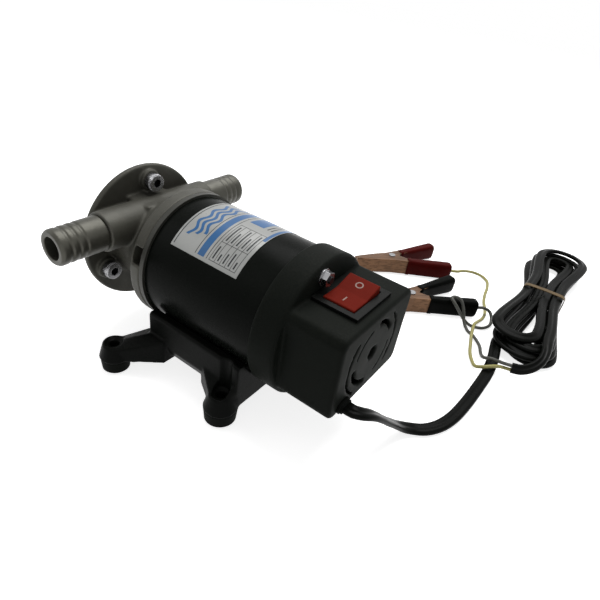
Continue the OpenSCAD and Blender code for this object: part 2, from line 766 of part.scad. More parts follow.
hank_path = concat([for (i = [0 : hank_last]) hank_point(i)], [for (t = hank_tail) hank_tail_point(t)]);
hank_end = hank_path[last(hank_path)];
hank_leave = unit(hank_end - hank_path[last(hank_path) - 1]);

// Gap between two passes of the lead, taken square to it at rings that stand side by side
function ring_gap(path, i, j) =
  let (d = path[j] - path[i], t = heading(path, i), side = abs(d * across(t)))
  abs(d * t) > 3 ? 99 : max(side - lead_t, abs(d[2]) - lead_w);
hank_gap = min([for (i = [0 : last(hank_path)], j = [0 : last(hank_path)])
  if (j > i + 10) ring_gap(hank_path, i, j)]);
echo(least_gap_in_hank = hank_gap);
assert(hank_gap > 0.4, "the loops of the hank touch");

module cord_hank() {
  color("dimgray") tube(hank_path, lead_t, lead_w, [for (p = hank_path) 0], 6);
}

// Free stretch, brought in line with the first run of the hank
cord_path = concat(cord_route, [hank_path[0] - 7 * unit(hank_path[1] - hank_path[0]), hank_path[0]]);

module power_cord() {
  turns = [for (i = [0 : last(cord_path)]) 90 * smooth((i - twist_from) / (twist_to - twist_from))];
  color("dimgray") tube(cord_path, lead_w, lead_t, turns, lead_side_count);
}

// Stretched band round the waist of the hank
module rubber_band() {
  half = hank_fold_r + hank_pitch * hank_loops_in - hank_draw(band_u) + lead_t / 2 + band_gap;
  wide = half - hank_pitch * 0.45;
  low = hank_low_z - lead_w / 2 - band_gap;
  high = hank_low_z + hank_layer + lead_w / 2 + band_gap;
  color("tan") translate([hank_c[0], hank_c[1], 0] + band_u * hank_axis) rotate([90, 0, hank_turn - 90])
    translate([0, 0, -band_w / 2]) linear_extrude(band_w) difference() {
      round_rect([-half - band_t, low - band_t], [wide + band_t, high + band_t], 2 + band_t);
      round_rect([-half, low], [wide, high], 2);
    }
}

// Point at distance s along the fixed handle of a clamp, midway across it
function on_handle(pivot, turn, s) =
  let (a = turn - clamp_half_angle)
  [pivot[0] + s * cos(a) + handle_mid * sin(a), pivot[1] + s * sin(a) - handle_mid * cos(a), clamp_mid_z];

// Path of a wire from its place in the stripped end of the lead, dz above its middle, to a clamp
function wire_path(dz, route, pivot, turn) =
  let (e = hank_end + [0, 0, dz])
  concat([e, e + 4 * unit([hank_leave[0], hank_leave[1], 0])], route,
    [on_handle(pivot, turn, handle_len + 9), on_handle(pivot, turn, handle_len + 0.2)]);

module yellow_wire() {
  path = wire_path(-1.7, yellow_route, red_pivot, red_turn);
  color("gold") tube(path, wire_d, wire_d, [for (p = path) 0], lead_side_count);
}

module grey_wire() {
  path = wire_path(1.7, grey_route, black_pivot, black_turn);
  color("gray") tube(path, wire_d, wire_d, [for (p = path) 0], lead_side_count);
}

// --- Clamps ---

// Clamp frame: the pivot at the origin, the jaws towards -X, lying on its side
module clamp_place(pivot, turn) {
  translate([pivot[0], pivot[1], 0]) rotate([0, 0, turn]) children();
}

// Side plate of one half, for the half whose handle lies towards +Y
module clamp_profile(toothed) {
  t = [cos(clamp_half_angle), sin(clamp_half_angle)];
  n = [-sin(clamp_half_angle), cos(clamp_half_angle)];
  teeth = 7;
  pitch = 2.4;
  polygon(concat(
    [for (i = [0 : teeth - 1]) each [[-jaw_len + 2 + i * pitch, 0.3],
      [-jaw_len + 2 + (i + 0.5) * pitch, toothed ? 1.2 : 0.3]]],
    [[-12, 0.3], [-6, -3.2], [3, -3.2], 12 * t + 2.2 * n, handle_len * t + 2.2 * n, handle_len * t + 8 * n,
      6 * t + 8 * n, [-2, 7.6], [-14, 6.4], [-jaw_len, 3], [-jaw_len, 0.6]]));
}

// Outer web that joins the two side plates of a half
module clamp_web() {
  t = [cos(clamp_half_angle), sin(clamp_half_angle)];
  n = [-sin(clamp_half_angle), cos(clamp_half_angle)];
  polygon([[-jaw_len, 0.6], [-jaw_len, 3], [-14, 6.4], [-2, 7.6], 6 * t + 8 * n, handle_len * t + 8 * n,
    handle_len * t + 7 * n, 6 * t + 7 * n, [-2, 6.6], [-14, 5.4], [-jaw_len + 1, 2.2], [-jaw_len + 1, 0.6]]);
}

// Half of a clamp between the two heights of its side plates
module clamp_half(z) {
  difference() {
    union() {
      for (h = [z[0], z[1] - clamp_plate])
        translate([0, 0, h]) linear_extrude(clamp_plate) clamp_profile(true);
      translate([0, 0, z[0]]) linear_extrude(z[1] - z[0]) clamp_web();
    }
    translate([0, 0, -1]) cylinder(r = rivet_r + 0.05, h = 20, $fn = 32);
  }
}

// Sleeve over a handle, wider at its end, with the hollow that the handle fills
module clamp_sleeve(z) {
  rotate([0, 0, clamp_half_angle]) difference() {
    hull() {
      translate([sleeve_start, 0, 0]) rotate([90, 0, 90]) linear_extrude(0.5)
        round_rect([1.4, z[0] - 0.9], [9, z[1] + 0.9], 2);
      translate([handle_len + 1.5, 0, 0]) rotate([90, 0, 90]) linear_extrude(0.5)
        round_rect([0.6, 0], [10.4, 2 * clamp_mid_z], 3);
    }
    translate([sleeve_start - 1, 2.2, z[0]]) cube([handle_len - sleeve_start + 1, 5.8, z[1] - z[0]]);
    translate([handle_len - 2, handle_mid, clamp_mid_z]) rotate([0, 90, 0]) cylinder(r = wire_d / 2, h = 6);
  }
}

module fixed_half() { mirror([0, 1, 0]) clamp_half(fixed_plate_z); }

module moving_half() { clamp_half(moving_plate_z); }

module clamp_rivet() {
  translate([0, 0, 0.5]) cylinder(r = rivet_r, h = 14, $fn = 32);
  for (h = [0.5, fixed_plate_z[1]]) translate([0, 0, h]) cylinder(r = 2.8, h = 0.7, $fn = 32);
}

// Spring round the rivet, one unbroken wire with its two legs
module clamp_spring() {
  turns = 3.5;
  rings = 8;
  r = 2.9;
  wire = 0.8;
  z0 = 5.3;
  z1 = 9.7;
  coil = [for (i = [0 : turns * rings])
    [-r * sin(360 * i / rings), -r * cos(360 * i / rings), z0 + (z1 - z0) * i / (turns * rings)]];
  path = concat([[8.2, -8.2, z0], [5, -5, z0], [2, -3.2, z0]], coil,
    [[2, 3.1, z1], [5, 3.9, z1], [8, 5, z1]]);
  tube(path, wire, wire, [for (p = path) 0], 6);
}

module red_fixed_jaw() { color("peru") clamp_place(red_pivot, red_turn) fixed_half(); }

module red_moving_jaw() { color("peru") clamp_place(red_pivot, red_turn) moving_half(); }

module red_fixed_sleeve() {
  color("firebrick") clamp_place(red_pivot, red_turn) mirror([0, 1, 0]) clamp_sleeve(fixed_plate_z);
}

module red_moving_sleeve() { color("firebrick") clamp_place(red_pivot, red_turn) clamp_sleeve(moving_plate_z); }

module red_rivet() { color("silver") clamp_place(red_pivot, red_turn) clamp_rivet(); }

module red_spring() { color("silver") clamp_place(red_pivot, red_turn) clamp_spring(); }

module black_fixed_jaw() { color("peru") clamp_place(black_pivot, black_turn) fixed_half(); }

module black_moving_jaw() { color("peru") clamp_place(black_pivot, black_turn) moving_half(); }

module black_fixed_sleeve() {
  color("black") clamp_place(black_pivot, black_turn) mirror([0, 1, 0]) clamp_sleeve(fixed_plate_z);
}

module black_moving_sleeve() { color("black") clamp_place(black_pivot, black_turn) clamp_sleeve(moving_plate_z); }

module black_rivet() { color("silver") clamp_place(black_pivot, black_turn) clamp_rivet(); }

module black_spring() { color("silver") clamp_place(black_pivot, black_turn) clamp_spring(); }

pump_cover();
cover_o_ring();
pump_housing();
cover_screws();
inlet_tail();
outlet_tail();
shaft_seal();
front_plate();
motor_can();
field_magnets();
front_bearing();
rear_bearing();
rear_plate();
brush_holders();
brushes();
brush_springs();
tie_bolts();
tie_nuts();
end_cap();
switch_body();
cord_gland();
base_bracket();
saddle_pad();
base_screws();
foot_rear_near();
foot_rear_far();
foot_front_near();
foot_front_far();
motor_shaft();
armature_core();
armature_winding();
commutator();
star_impeller();
slinger();
switch_rocker();
power_cord();
cord_hank();
rubber_band();
yellow_wire();
grey_wire();
red_fixed_jaw();
red_fixed_sleeve();
red_moving_jaw();
red_moving_sleeve();
red_rivet();
red_spring();
black_fixed_jaw();
black_fixed_sleeve();
black_moving_jaw();
black_moving_sleeve();
black_rivet();
black_spring();
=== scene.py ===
"""Looks of a 12 V transfer and bilge pump, its battery lead and its clamps.

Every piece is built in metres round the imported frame, which holds the pump's real shapes and joints.
"""

from __future__ import annotations

import logging
import math
from dataclasses import dataclass, field
from enum import Enum
from typing import Callable, Iterable, Sequence

import bmesh
import bpy
from mathutils import Matrix, Vector


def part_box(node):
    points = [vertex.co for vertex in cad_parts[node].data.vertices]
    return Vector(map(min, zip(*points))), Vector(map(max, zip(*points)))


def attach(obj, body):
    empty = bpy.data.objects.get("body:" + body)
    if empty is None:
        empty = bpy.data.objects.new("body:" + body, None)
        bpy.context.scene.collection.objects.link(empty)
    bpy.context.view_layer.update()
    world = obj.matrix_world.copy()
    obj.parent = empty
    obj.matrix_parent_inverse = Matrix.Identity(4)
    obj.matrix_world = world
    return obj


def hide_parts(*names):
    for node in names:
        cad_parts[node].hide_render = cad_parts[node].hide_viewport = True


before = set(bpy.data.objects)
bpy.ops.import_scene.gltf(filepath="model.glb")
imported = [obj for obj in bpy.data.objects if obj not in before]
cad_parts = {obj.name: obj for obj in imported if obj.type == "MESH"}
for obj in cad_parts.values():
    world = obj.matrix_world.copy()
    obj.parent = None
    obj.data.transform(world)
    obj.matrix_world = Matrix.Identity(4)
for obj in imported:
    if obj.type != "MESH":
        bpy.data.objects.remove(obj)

LOG = logging.getLogger("pump")
MM = 0.001
AXIS_Z = 56.0  # height of the motor's axis above the floor, in millimetres
WORN_WIDTH = 2.5  # how far a worn edge reaches, against the edge's radius
DARK_SHARE = 0.45  # share of the main colour that is left in flecks and streaks
DUST_COLOUR = (0.42, 0.4, 0.37)
DUST_ROUGHNESS = 0.4  # what a full cover of dust adds to the roughness
WHITE = (1.0, 1.0, 1.0, 1.0)
Point = Sequence[float]
Edge = float | Callable[[float], float]
Sheet = tuple[list[Vector], list[Sequence[int]]]
Colour = tuple[float, float, float]
Faces = list[Sequence[int]]
Inputs = dict[str, tuple[str, object]]
Piece = bpy.types.Object
Node = bpy.types.Node
Socket = bpy.types.NodeSocket
Tree = bpy.types.NodeTree


class Slot(Enum):
    """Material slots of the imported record."""

    CAST = "cast_head"
    STEEL = "steel"
    MOTOR = "motor_paint"
    BASE = "base_paint"
    MAGNET = "magnet"
    BRASS = "brass"
    COPPER = "copper"
    CARBON = "carbon"
    LAMINATE = "insulator"
    CAP = "cap_plastic"
    SWITCH = "switch_plastic"
    ROCKER = "rocker_plastic"
    RUBBER = "rubber"
    SHEATH = "sheath"
    BAND = "band"
    YELLOW = "yellow_pvc"
    GREY = "grey_pvc"
    RED = "red_pvc"
    BLACK = "black_pvc"


class Grain(Enum):
    """How a surface's relief is made."""

    SAND = "sand cast"
    MOULD = "spark-eroded mould"
    PAINT = "sprayed paint"
    DRAWN = "drawn or turned metal"
    SKIN = "soft skin"


# --- Shader trees ---


class Shade:
    """A node tree with short calls for adding and linking nodes."""

    MIX_FACTOR, MIX_FIRST, MIX_SECOND, MIX_RESULT = 0, 6, 7, 2  # colour sockets, which share their names

    def __init__(self, tree: Tree) -> None:
        """Wraps the given tree."""
        self.tree = tree

    @classmethod
    def on(cls, owner: bpy.types.Material | bpy.types.World) -> Shade:
        """Emptied shader tree of a material or a world."""
        owner.use_nodes = True
        owner.node_tree.nodes.clear()
        return cls(owner.node_tree)

    def link(self, value: object, socket: Socket) -> None:
        """Links a socket to an input, or sets the input to a plain value."""
        if isinstance(value, Socket):
            self.tree.links.new(value, socket)
        else:
            socket.default_value = value

    def add(self, kind: str, values: dict[str | int, object] | None = None, **props: object) -> Node:
        """Adds a node.

        Args:
            kind: the node's Blender type name.
            values: default values, or sockets to link from, by input name or number.
            props: properties of the node itself.

        Returns:
            The new node.
        """
        node = self.tree.nodes.new(kind)
        for key, value in props.items():
            setattr(node, key, value)
        for key, value in (values or {}).items():
            self.link(value, node.inputs[key])
        return node

    def end(self, kind: str, label: str, result: Socket) -> None:
        """Adds the tree's output node and links the result to it."""
        self.link(result, self.add(kind).inputs[label])

    def math(self, operation: str, first: object, second: object, clamp: bool = False) -> Socket:
        """Result of a Math node on two numbers or sockets."""
        node = self.add("ShaderNodeMath", {0: first, 1: second}, operation=operation, use_clamp=clamp)
        return node.outputs[0]

    def plus(self, first: object, second: object) -> Socket:
        """Sum of two numbers or sockets."""
        return self.math("ADD", first, second)

    def times(self, first: object, second: object) -> Socket:
        """Product of two numbers or sockets."""
        return self.math("MULTIPLY", first, second)

    def ramp(self, value: object, low: float, high: float, start: float = 0.0, stop: float = 1.0) -> Socket:
        """Value mapped from low..high to start..stop, held at both ends."""
        given = {"Value": value, "From Min": low, "From Max": high, "To Min": start, "To Max": stop}
        return self.add("ShaderNodeMapRange", given).outputs["Result"]

    def mix(self, factor: object, first: object, second: object) -> Socket:
        """Two colours mixed by a factor."""
        given = {self.MIX_FACTOR: factor, self.MIX_FIRST: first, self.MIX_SECOND: second}
        return self.add("ShaderNodeMix", given, data_type="RGBA").outputs[self.MIX_RESULT]

    def noise(
        self, place: object, scale: object, detail: float, rough: float = 0.5, warp: float = 0.0,
    ) -> Socket:
        """Noise at a place."""
        given = {"Vector": place, "Scale": scale, "Detail": detail, "Roughness": rough, "Distortion": warp}
        return self.add("ShaderNodeTexNoise", given).outputs["Fac"]

    def cells(self, place: object, scale: object) -> Socket:
        """Smoothed distance to the nearest of scattered points."""
        given = {"Vector": place, "Scale": scale}
        return self.add("ShaderNodeTexVoronoi", given, feature="SMOOTH_F1").outputs["Distance"]

    def seen(self) -> Socket:
        """1 for rays from the camera, from a mirror or through glass, and 0 for those that only light."""
        rays = self.add("ShaderNodeLightPath").outputs
        bent = self.math("MAXIMUM", rays["Is Glossy Ray"], rays["Is Transmission Ray"])
        return self.math("MAXIMUM", rays["Is Camera Ray"], bent)


def add_sockets(tree: Tree, way: str, sockets: Inputs) -> None:
    """Adds a tree's own inputs or outputs, as socket type suffix and default value by name."""
    for label, (kind, value) in sockets.items():
        socket = tree.interface.new_socket(label, in_out=way, socket_type=f"NodeSocket{kind}")
        if value is not None:
            socket.default_value = value


def new_group(name: str, inputs: Inputs, outputs: dict[str, str]) -> tuple[Shade, Node, Node]:
    """Starts a shader node group.

    Args:
        name: the group's name.
        inputs: socket type suffix and default value by input name.
        outputs: socket type suffix by output name.

    Returns:
        The tree, its input node and its output node.
    """
    tree = bpy.data.node_groups.new(name, "ShaderNodeTree")
    add_sockets(tree, "INPUT", inputs)
    add_sockets(tree, "OUTPUT", {label: (kind, None) for label, kind in outputs.items()})
    s = Shade(tree)
    return s, s.add("NodeGroupInput"), s.add("NodeGroupOutput")


def rounding_group() -> Tree:
    """Group that rounds the shading of sharp edges and masks where they run."""
    s, given, out = new_group(
        "EdgeRounding",
        {"Radius": ("Float", 0.0004), "Width": ("Float", 0.0012)},
        {"Normal": "Vector", "Edge": "Float"},
    )
    flat, bent = 0.995, 0.86  # how well the rounded and the true direction agree
    rounded = s.add("ShaderNodeBevel", {"Radius": given.outputs["Radius"]}, samples=4)
    wide = s.add("ShaderNodeBevel", {"Radius": given.outputs["Width"]}, samples=4)
    face = s.add("ShaderNodeNewGeometry")
    both = {0: wide.outputs[0], 1: face.outputs["True Normal"]}
    agree = s.add("ShaderNodeVectorMath", both, operation="DOT_PRODUCT")
    s.link(rounded.outputs[0], out.inputs["Normal"])
    s.link(s.ramp(agree.outputs["Value"], flat, bent), out.inputs["Edge"])
    return s.tree


def relief_group(grain: Grain) -> Tree:
    """Group that makes one kind of relief.

    Args:
        grain: the kind of relief.

    Returns:
        A group with inputs for the size in metres and for the way drawn lines run, and outputs for height and
        two masks.
    """
    s, given, out = new_group(
        "Relief" + grain.name.title(),
        {"Size": ("Float", 0.001), "Lay": ("Float", 0.0)},
        {"Height": "Float", "Drift": "Float", "Fleck": "Float"},
    )
    place = s.add("ShaderNodeTexCoord").outputs["Object"]
    scale = s.math("DIVIDE", 1.0, given.outputs["Size"])
    slow = s.noise(place, 42.0, 5.0, 0.6)
    fleck = s.noise(place, s.times(scale, 1.7), 3.0)
    height = s.noise(place, scale, 6.0, 0.62)
    if grain is Grain.SAND:
        pits, swell = s.cells(place, s.times(scale, 0.9)), s.noise(place, 190.0, 2.0)
        height = s.plus(s.plus(height, s.times(pits, 0.7)), s.times(swell, 1.5))
    elif grain is Grain.MOULD:
        height = s.plus(s.times(height, 0.6), s.cells(place, scale))
    elif grain is Grain.DRAWN:
        turn = {"Vector": place, "Angle": given.outputs["Lay"]}
        turned = s.add("ShaderNodeVectorRotate", turn, rotation_type="Z_AXIS")
        stretch = s.add("ShaderNodeMapping", {"Vector": turned.outputs[0], "Scale": (0.06, 1.0, 1.0)})
        height = s.noise(stretch.outputs[0], scale, 4.0)
    elif grain is Grain.SKIN:
        height = s.plus(s.times(height, 0.5), s.noise(place, 260.0, 3.0, warp=0.6))
    for value, label in ((height, "Height"), (slow, "Drift"), (fleck, "Fleck")):
        s.link(value, out.inputs[label])
    return s.tree


def dust_group() -> Tree:
    """Group that masks the dust lying on what faces up."""
    s, given, out = new_group("DustFall", {"Amount": ("Float", 0.2)}, {"Mask": "Float"})
    face = s.add("ShaderNodeNewGeometry")
    up = s.add("ShaderNodeSeparateXYZ", {0: face.outputs["Normal"]})
    lying = s.ramp(up.outputs["Z"], 0.2, 1.0)
    place = s.add("ShaderNodeTexCoord").outputs["Object"]
    specks, patches = s.noise(place, 900.0, 4.0, 0.7), s.noise(place, 60.0, 3.0)
    spread = s.times(s.ramp(specks, 0.42, 0.75), s.ramp(patches, 0.3, 0.7))
    s.link(s.times(s.times(spread, lying), given.outputs["Amount"]), out.inputs["Mask"])
    return s.tree


def opaque(colour: Colour, share: float = 1.0) -> tuple[float, ...]:
    """A share of a colour, with full alpha."""
    return (*(share * c for c in colour), 1.0)


class Workshop:
    """Holds the shared shader groups and the materials made from the finishes."""

    def __init__(self) -> None:
        """Builds the groups once."""
        self.rounding = rounding_group()
        self.dust = dust_group()
        self.relief = {grain: relief_group(grain) for grain in Grain}
        self.made: dict[str, bpy.types.Material] = {}

    def material(self, finish: Finish) -> bpy.types.Material:
        """The material of a finish, built on first use."""
        if finish.name not in self.made:
            self.made[finish.name] = finish.build(self)
        return self.made[finish.name]


@dataclass(frozen=True)
class Finish:
    """A surface finish.

    Attributes:
        name: the material's name.
        slot: the record's material slot it belongs to.
        colour: the main colour.
        drift: the colour that the main one drifts to in patches.
        roughness: mean roughness.
        spread: how far the roughness strays from its mean.
        metallic: 1 for bare metal.
        specular: the shader's specular level.
        grain: the kind of relief.
        size: size of the relief in millimetres.
        depth: depth of the relief in millimetres.
        edge: radius of the rounded edges in millimetres.
        wear: how strongly edges show the worn colour.
        worn: colour of worn edges.
        dust: amount of dust on what faces up.
        fleck: how strongly fine flecks darken the colour.
        lay: the level direction of drawn lines, in degrees from +X.
        streak: how strongly drawn lines darken the colour.
    """

    name: str
    slot: Slot
    colour: Colour
    drift: Colour
    roughness: float = 0.5
    spread: float = 0.08
    metallic: float = 0.0
    specular: float = 0.5
    grain: Grain = Grain.SKIN
    size: float = 0.5
    depth: float = 0.02
    edge: float = 0.3
    wear: float = 0.0
    worn: Colour = (0.4, 0.4, 0.4)
    dust: float = 0.0
    fleck: float = 0.2
    lay: float = 0.0
    streak: float = 0.0

    def build(self, shop: Workshop) -> bpy.types.Material:
        """Makes the material.

        Args:
            shop: the workshop with the shared groups.

        Returns:
            The material.
        """
        material = bpy.data.materials.new(self.name)
        s = Shade.on(material)
        wanted = {"Size": self.size * MM, "Lay": -math.radians(self.lay)}
        relief = s.add("ShaderNodeGroup", wanted, node_tree=shop.relief[self.grain])
        wanted = {"Radius": self.edge * MM, "Width": self.edge * WORN_WIDTH * MM}
        rounding = s.add("ShaderNodeGroup", wanted, node_tree=shop.rounding)
        height, drift, fleck = (relief.outputs[label] for label in ("Height", "Drift", "Fleck"))
        darker = opaque(self.colour, DARK_SHARE)
        colour = s.mix(s.ramp(drift, 0.3, 0.7), opaque(self.colour), opaque(self.drift))
        colour = s.mix(s.ramp(fleck, 0.56, 0.74, 0.0, self.fleck), colour, darker)
        if self.streak > 0:
            colour = s.mix(s.ramp(height, 0.5, 0.6, 0.0, self.streak), colour, darker)
        roughness = s.ramp(drift, 0.25, 0.75, self.roughness - self.spread, self.roughness + self.spread)
        if self.wear > 0:
            rubbed = s.times(rounding.outputs["Edge"], s.ramp(fleck, 0.4, 0.62, 0.0, self.wear))
            colour = s.mix(rubbed, colour, opaque(self.worn))
        if self.dust > 0:
            dust = s.add("ShaderNodeGroup", {"Amount": self.dust}, node_tree=shop.dust).outputs["Mask"]
            colour = s.mix(dust, colour, opaque(DUST_COLOUR))
            roughness = s.math("ADD", roughness, s.times(dust, DUST_ROUGHNESS), clamp=True)
        bump = s.add("ShaderNodeBump", {
            "Strength": 1.0, "Distance": self.depth * MM, "Height": height,
            "Normal": rounding.outputs["Normal"],
        })
        shader = s.add("ShaderNodeBsdfPrincipled", {
            "Base Color": colour, "Roughness": roughness, "Normal": bump.outputs[0],
            "Metallic": self.metallic, "Specular IOR Level": self.specular,
        })
        s.end("ShaderNodeOutputMaterial", "Surface", shader.outputs[0])
        return material


CAST = Finish(
    "sand_cast_metal", Slot.CAST, (0.06, 0.0585, 0.047), (0.04, 0.039, 0.031), 0.52, 0.09, 0.3, 0.3,
    grain=Grain.SAND, size=0.55, depth=0.08, edge=0.5, wear=0.5, worn=(0.16, 0.156, 0.134), dust=0.05,
    fleck=0.45,
)
TURNED = Finish(
    "turned_cast_metal", Slot.CAST, (0.07, 0.068, 0.055), (0.046, 0.045, 0.036), 0.4, 0.08, 0.5, 0.35,
    grain=Grain.SAND, size=0.35, depth=0.03, edge=0.35, wear=0.5, worn=(0.2, 0.195, 0.17), fleck=0.35,
)
PLATE_METAL = Finish(
    "grey_plate", Slot.CAST, (0.038, 0.038, 0.032), (0.028, 0.028, 0.023), 0.45, 0.06, 0.4, 0.3,
    grain=Grain.SAND, size=0.4, depth=0.02, edge=0.3, wear=0.4, worn=(0.12, 0.12, 0.105),
)
BRIGHT = Finish(
    "plated_steel", Slot.STEEL, (0.4, 0.4, 0.41), (0.3, 0.3, 0.31), 0.24, 0.08, 1.0, grain=Grain.DRAWN,
    size=0.25, depth=0.006, edge=0.25, fleck=0.3,
)
# Blackened steel of the tie bolts; the same dark finish on the cups in the screw sockets is painted shade.
OXIDE_AND_SOCKET_SHADE = Finish(
    "blackened_steel_and_socket_shade", Slot.STEEL, (0.02, 0.02, 0.021), (0.014, 0.014, 0.015), 0.35, 0.08, 0.8,
    grain=Grain.DRAWN, size=0.25, depth=0.006, edge=0.2, fleck=0.2,
)
SHAFT = Finish(
    "ground_steel", Slot.STEEL, (0.5, 0.5, 0.51), (0.42, 0.42, 0.43), 0.3, 0.06, 1.0, grain=Grain.DRAWN,
    size=0.2, depth=0.004, edge=0.2,
)
MOTOR = Finish(
    "gloss_black_enamel", Slot.MOTOR, (0.0034, 0.0043, 0.0034), (0.0045, 0.0054, 0.0045), 0.27, 0.07, 0.0,
    0.024, grain=Grain.PAINT, size=1.6, depth=0.012, edge=0.4, dust=0.01, fleck=0.1,
)
BASE = Finish(
    "satin_black_enamel", Slot.BASE, (0.0022, 0.0027, 0.0022), (0.0032, 0.0037, 0.0032), 0.36, 0.08, 0.0,
    0.035, grain=Grain.SAND, size=0.8, depth=0.05, edge=0.6, wear=0.12, worn=(0.03, 0.032, 0.029),
    dust=0.02, fleck=0.2,
)
MAGNET = Finish(
    "ferrite", Slot.MAGNET, (0.035, 0.035, 0.038), (0.025, 0.025, 0.027), 0.7, 0.08, grain=Grain.SAND,
    size=0.3, depth=0.02, edge=0.4,
)
BRASS = Finish(
    "machined_brass", Slot.BRASS, (0.62, 0.43, 0.17), (0.5, 0.34, 0.13), 0.32, 0.08, 1.0, grain=Grain.DRAWN,
    size=0.3, depth=0.006, edge=0.25,
)
COPPER = Finish(
    "copper_plate", Slot.COPPER, (0.165, 0.086, 0.044), (0.095, 0.05, 0.027), 0.36, 0.09, 0.7, 0.3,
    grain=Grain.DRAWN, size=1.1, depth=0.1, edge=0.3, wear=0.35, worn=(0.34, 0.205, 0.12), fleck=0.3,
    lay=53.0, streak=1.0,
)
WOUND_COPPER = Finish(
    "enamelled_copper", Slot.COPPER, (0.36, 0.185, 0.1), (0.25, 0.125, 0.068), 0.33, 0.09, 0.85,
    grain=Grain.DRAWN, size=0.5, depth=0.01, edge=0.3, fleck=0.3,
)
CARBON = Finish(
    "brush_carbon", Slot.CARBON, (0.03, 0.03, 0.03), (0.02, 0.02, 0.02), 0.6, 0.06, grain=Grain.SAND,
    size=0.2, depth=0.01,
)
LAMINATE = Finish(
    "brown_laminate", Slot.LAMINATE, (0.3, 0.17, 0.08), (0.24, 0.13, 0.06), 0.5, 0.06, grain=Grain.MOULD,
    size=0.3, depth=0.01,
)
CAP = Finish(
    "grained_black_moulding", Slot.CAP, (0.0058, 0.007, 0.0057), (0.0076, 0.009, 0.0073), 0.54, 0.06, 0.0,
    0.025, grain=Grain.MOULD, size=0.45, depth=0.015, edge=0.9, wear=0.1, worn=(0.03, 0.032, 0.029),
    dust=0.02, fleck=0.15,
)
SWITCH = Finish(
    "black_switch_moulding", Slot.SWITCH, (0.0045, 0.0051, 0.0045), (0.0056, 0.0061, 0.0056), 0.36, 0.05,
    0.0, 0.05, grain=Grain.MOULD, size=0.35, depth=0.006, edge=0.35, dust=0.02,
)
ROCKER = Finish(
    "red_rocker_moulding", Slot.ROCKER, (0.15, 0.013, 0.0068), (0.122, 0.0102, 0.0054), 0.46, 0.05, 0.0,
    0.015, grain=Grain.PAINT, size=2.0, depth=0.006, edge=0.6, dust=0.005, fleck=0.08,
)
MARKING = Finish(
    "pale_marking", Slot.ROCKER, (0.3, 0.2, 0.17), (0.25, 0.17, 0.14), 0.45, 0.05, 0.0, 0.2,
    grain=Grain.PAINT, size=0.6, depth=0.004, edge=0.1,
)
RUBBER = Finish(
    "black_rubber", Slot.RUBBER, (0.0034, 0.0041, 0.0033), (0.0046, 0.0053, 0.0045), 0.62, 0.07, 0.0, 0.03,
    grain=Grain.SKIN, size=0.4, depth=0.015, edge=0.5, dust=0.02,
)
SHEATH = Finish(
    "flexible_sheath", Slot.SHEATH, (0.002, 0.0024, 0.0019), (0.003, 0.0034, 0.0028), 0.3, 0.07, 0.0, 0.04,
    grain=Grain.SKIN, size=0.6, depth=0.012, edge=0.2, dust=0.01, fleck=0.1,
)
BAND = Finish(
    "tan_rubber", Slot.BAND, (0.13, 0.085, 0.036), (0.095, 0.062, 0.027), 0.5, 0.06, 0.0, 0.2,
    grain=Grain.SKIN, size=0.4, depth=0.02, edge=0.1,
)
YELLOW = Finish(
    "yellow_insulation", Slot.YELLOW, (0.36, 0.33, 0.12), (0.3, 0.275, 0.1), 0.38, 0.05, 0.0, 0.25,
    grain=Grain.SKIN, size=0.5, depth=0.008, edge=0.1, fleck=0.08,
)
GREY = Finish(
    "grey_insulation", Slot.GREY, (0.075, 0.076, 0.066), (0.06, 0.061, 0.053), 0.4, 0.05, 0.0, 0.25,
    grain=Grain.SKIN, size=0.5, depth=0.008, edge=0.1, fleck=0.08,
)
RED_SLEEVE = Finish(
    "red_sleeve", Slot.RED, (0.062, 0.0034, 0.0025), (0.047, 0.0026, 0.0019), 0.4, 0.07, 0.0, 0.03,
    grain=Grain.SKIN, size=0.9, depth=0.02, edge=0.4, dust=0.005, fleck=0.12,
)
BLACK_SLEEVE = Finish(
    "black_sleeve", Slot.BLACK, (0.0014, 0.0017, 0.0014), (0.002, 0.0023, 0.0019), 0.36, 0.07, 0.0, 0.02,
    grain=Grain.SKIN, size=0.9, depth=0.02, edge=0.4, dust=0.005, fleck=0.12,
)
LABEL_FILM = Finish(
    "silver_label_film", Slot.MOTOR, (0.33, 0.335, 0.325), (0.28, 0.285, 0.275), 0.3, 0.05, 0.2, 0.3,
    grain=Grain.PAINT, size=1.2, depth=0.004, edge=0.05, fleck=0.05,
)
LABEL_BLUE = Finish(
    "label_blue_ink", Slot.MOTOR, (0.02, 0.11, 0.28), (0.016, 0.09, 0.24), 0.32, 0.05, 0.0, 0.3,
    grain=Grain.PAINT, size=1.0, depth=0.003, edge=0.05, fleck=0.08,
)
LABEL_DARK = Finish(
    "label_dark_ink", Slot.MOTOR, (0.012, 0.013, 0.016), (0.017, 0.018, 0.022), 0.35, 0.05, 0.0, 0.3,
    grain=Grain.PAINT, size=1.0, depth=0.003, edge=0.05, fleck=0.08,
)


# --- Mesh helpers ---


def to_metres(point: Point) -> Vector:
    """A point given in millimetres, in metres."""
    return Vector(point) * MM


def eased(t: float) -> float:
    """Smooth step from 0 to 1 as t goes from 0 to 1, held at both ends."""
    t = min(1.0, max(0.0, t))
    return t * t * (3 - 2 * t)


def on_clock(radius: float, angle: float, x: float) -> Vector:
    """Point in metres about the motor axis, its angle in degrees from +Z towards +Y."""
    a = math.radians(angle)
    return to_metres((x, radius * math.sin(a), AXIS_Z + radius * math.cos(a)))


def in_scene(name: str, data: bpy.types.ID) -> Piece:
    """New object with the given data, linked to the scene."""
    made = bpy.data.objects.new(name, data)
    bpy.context.scene.collection.objects.link(made)
    return made


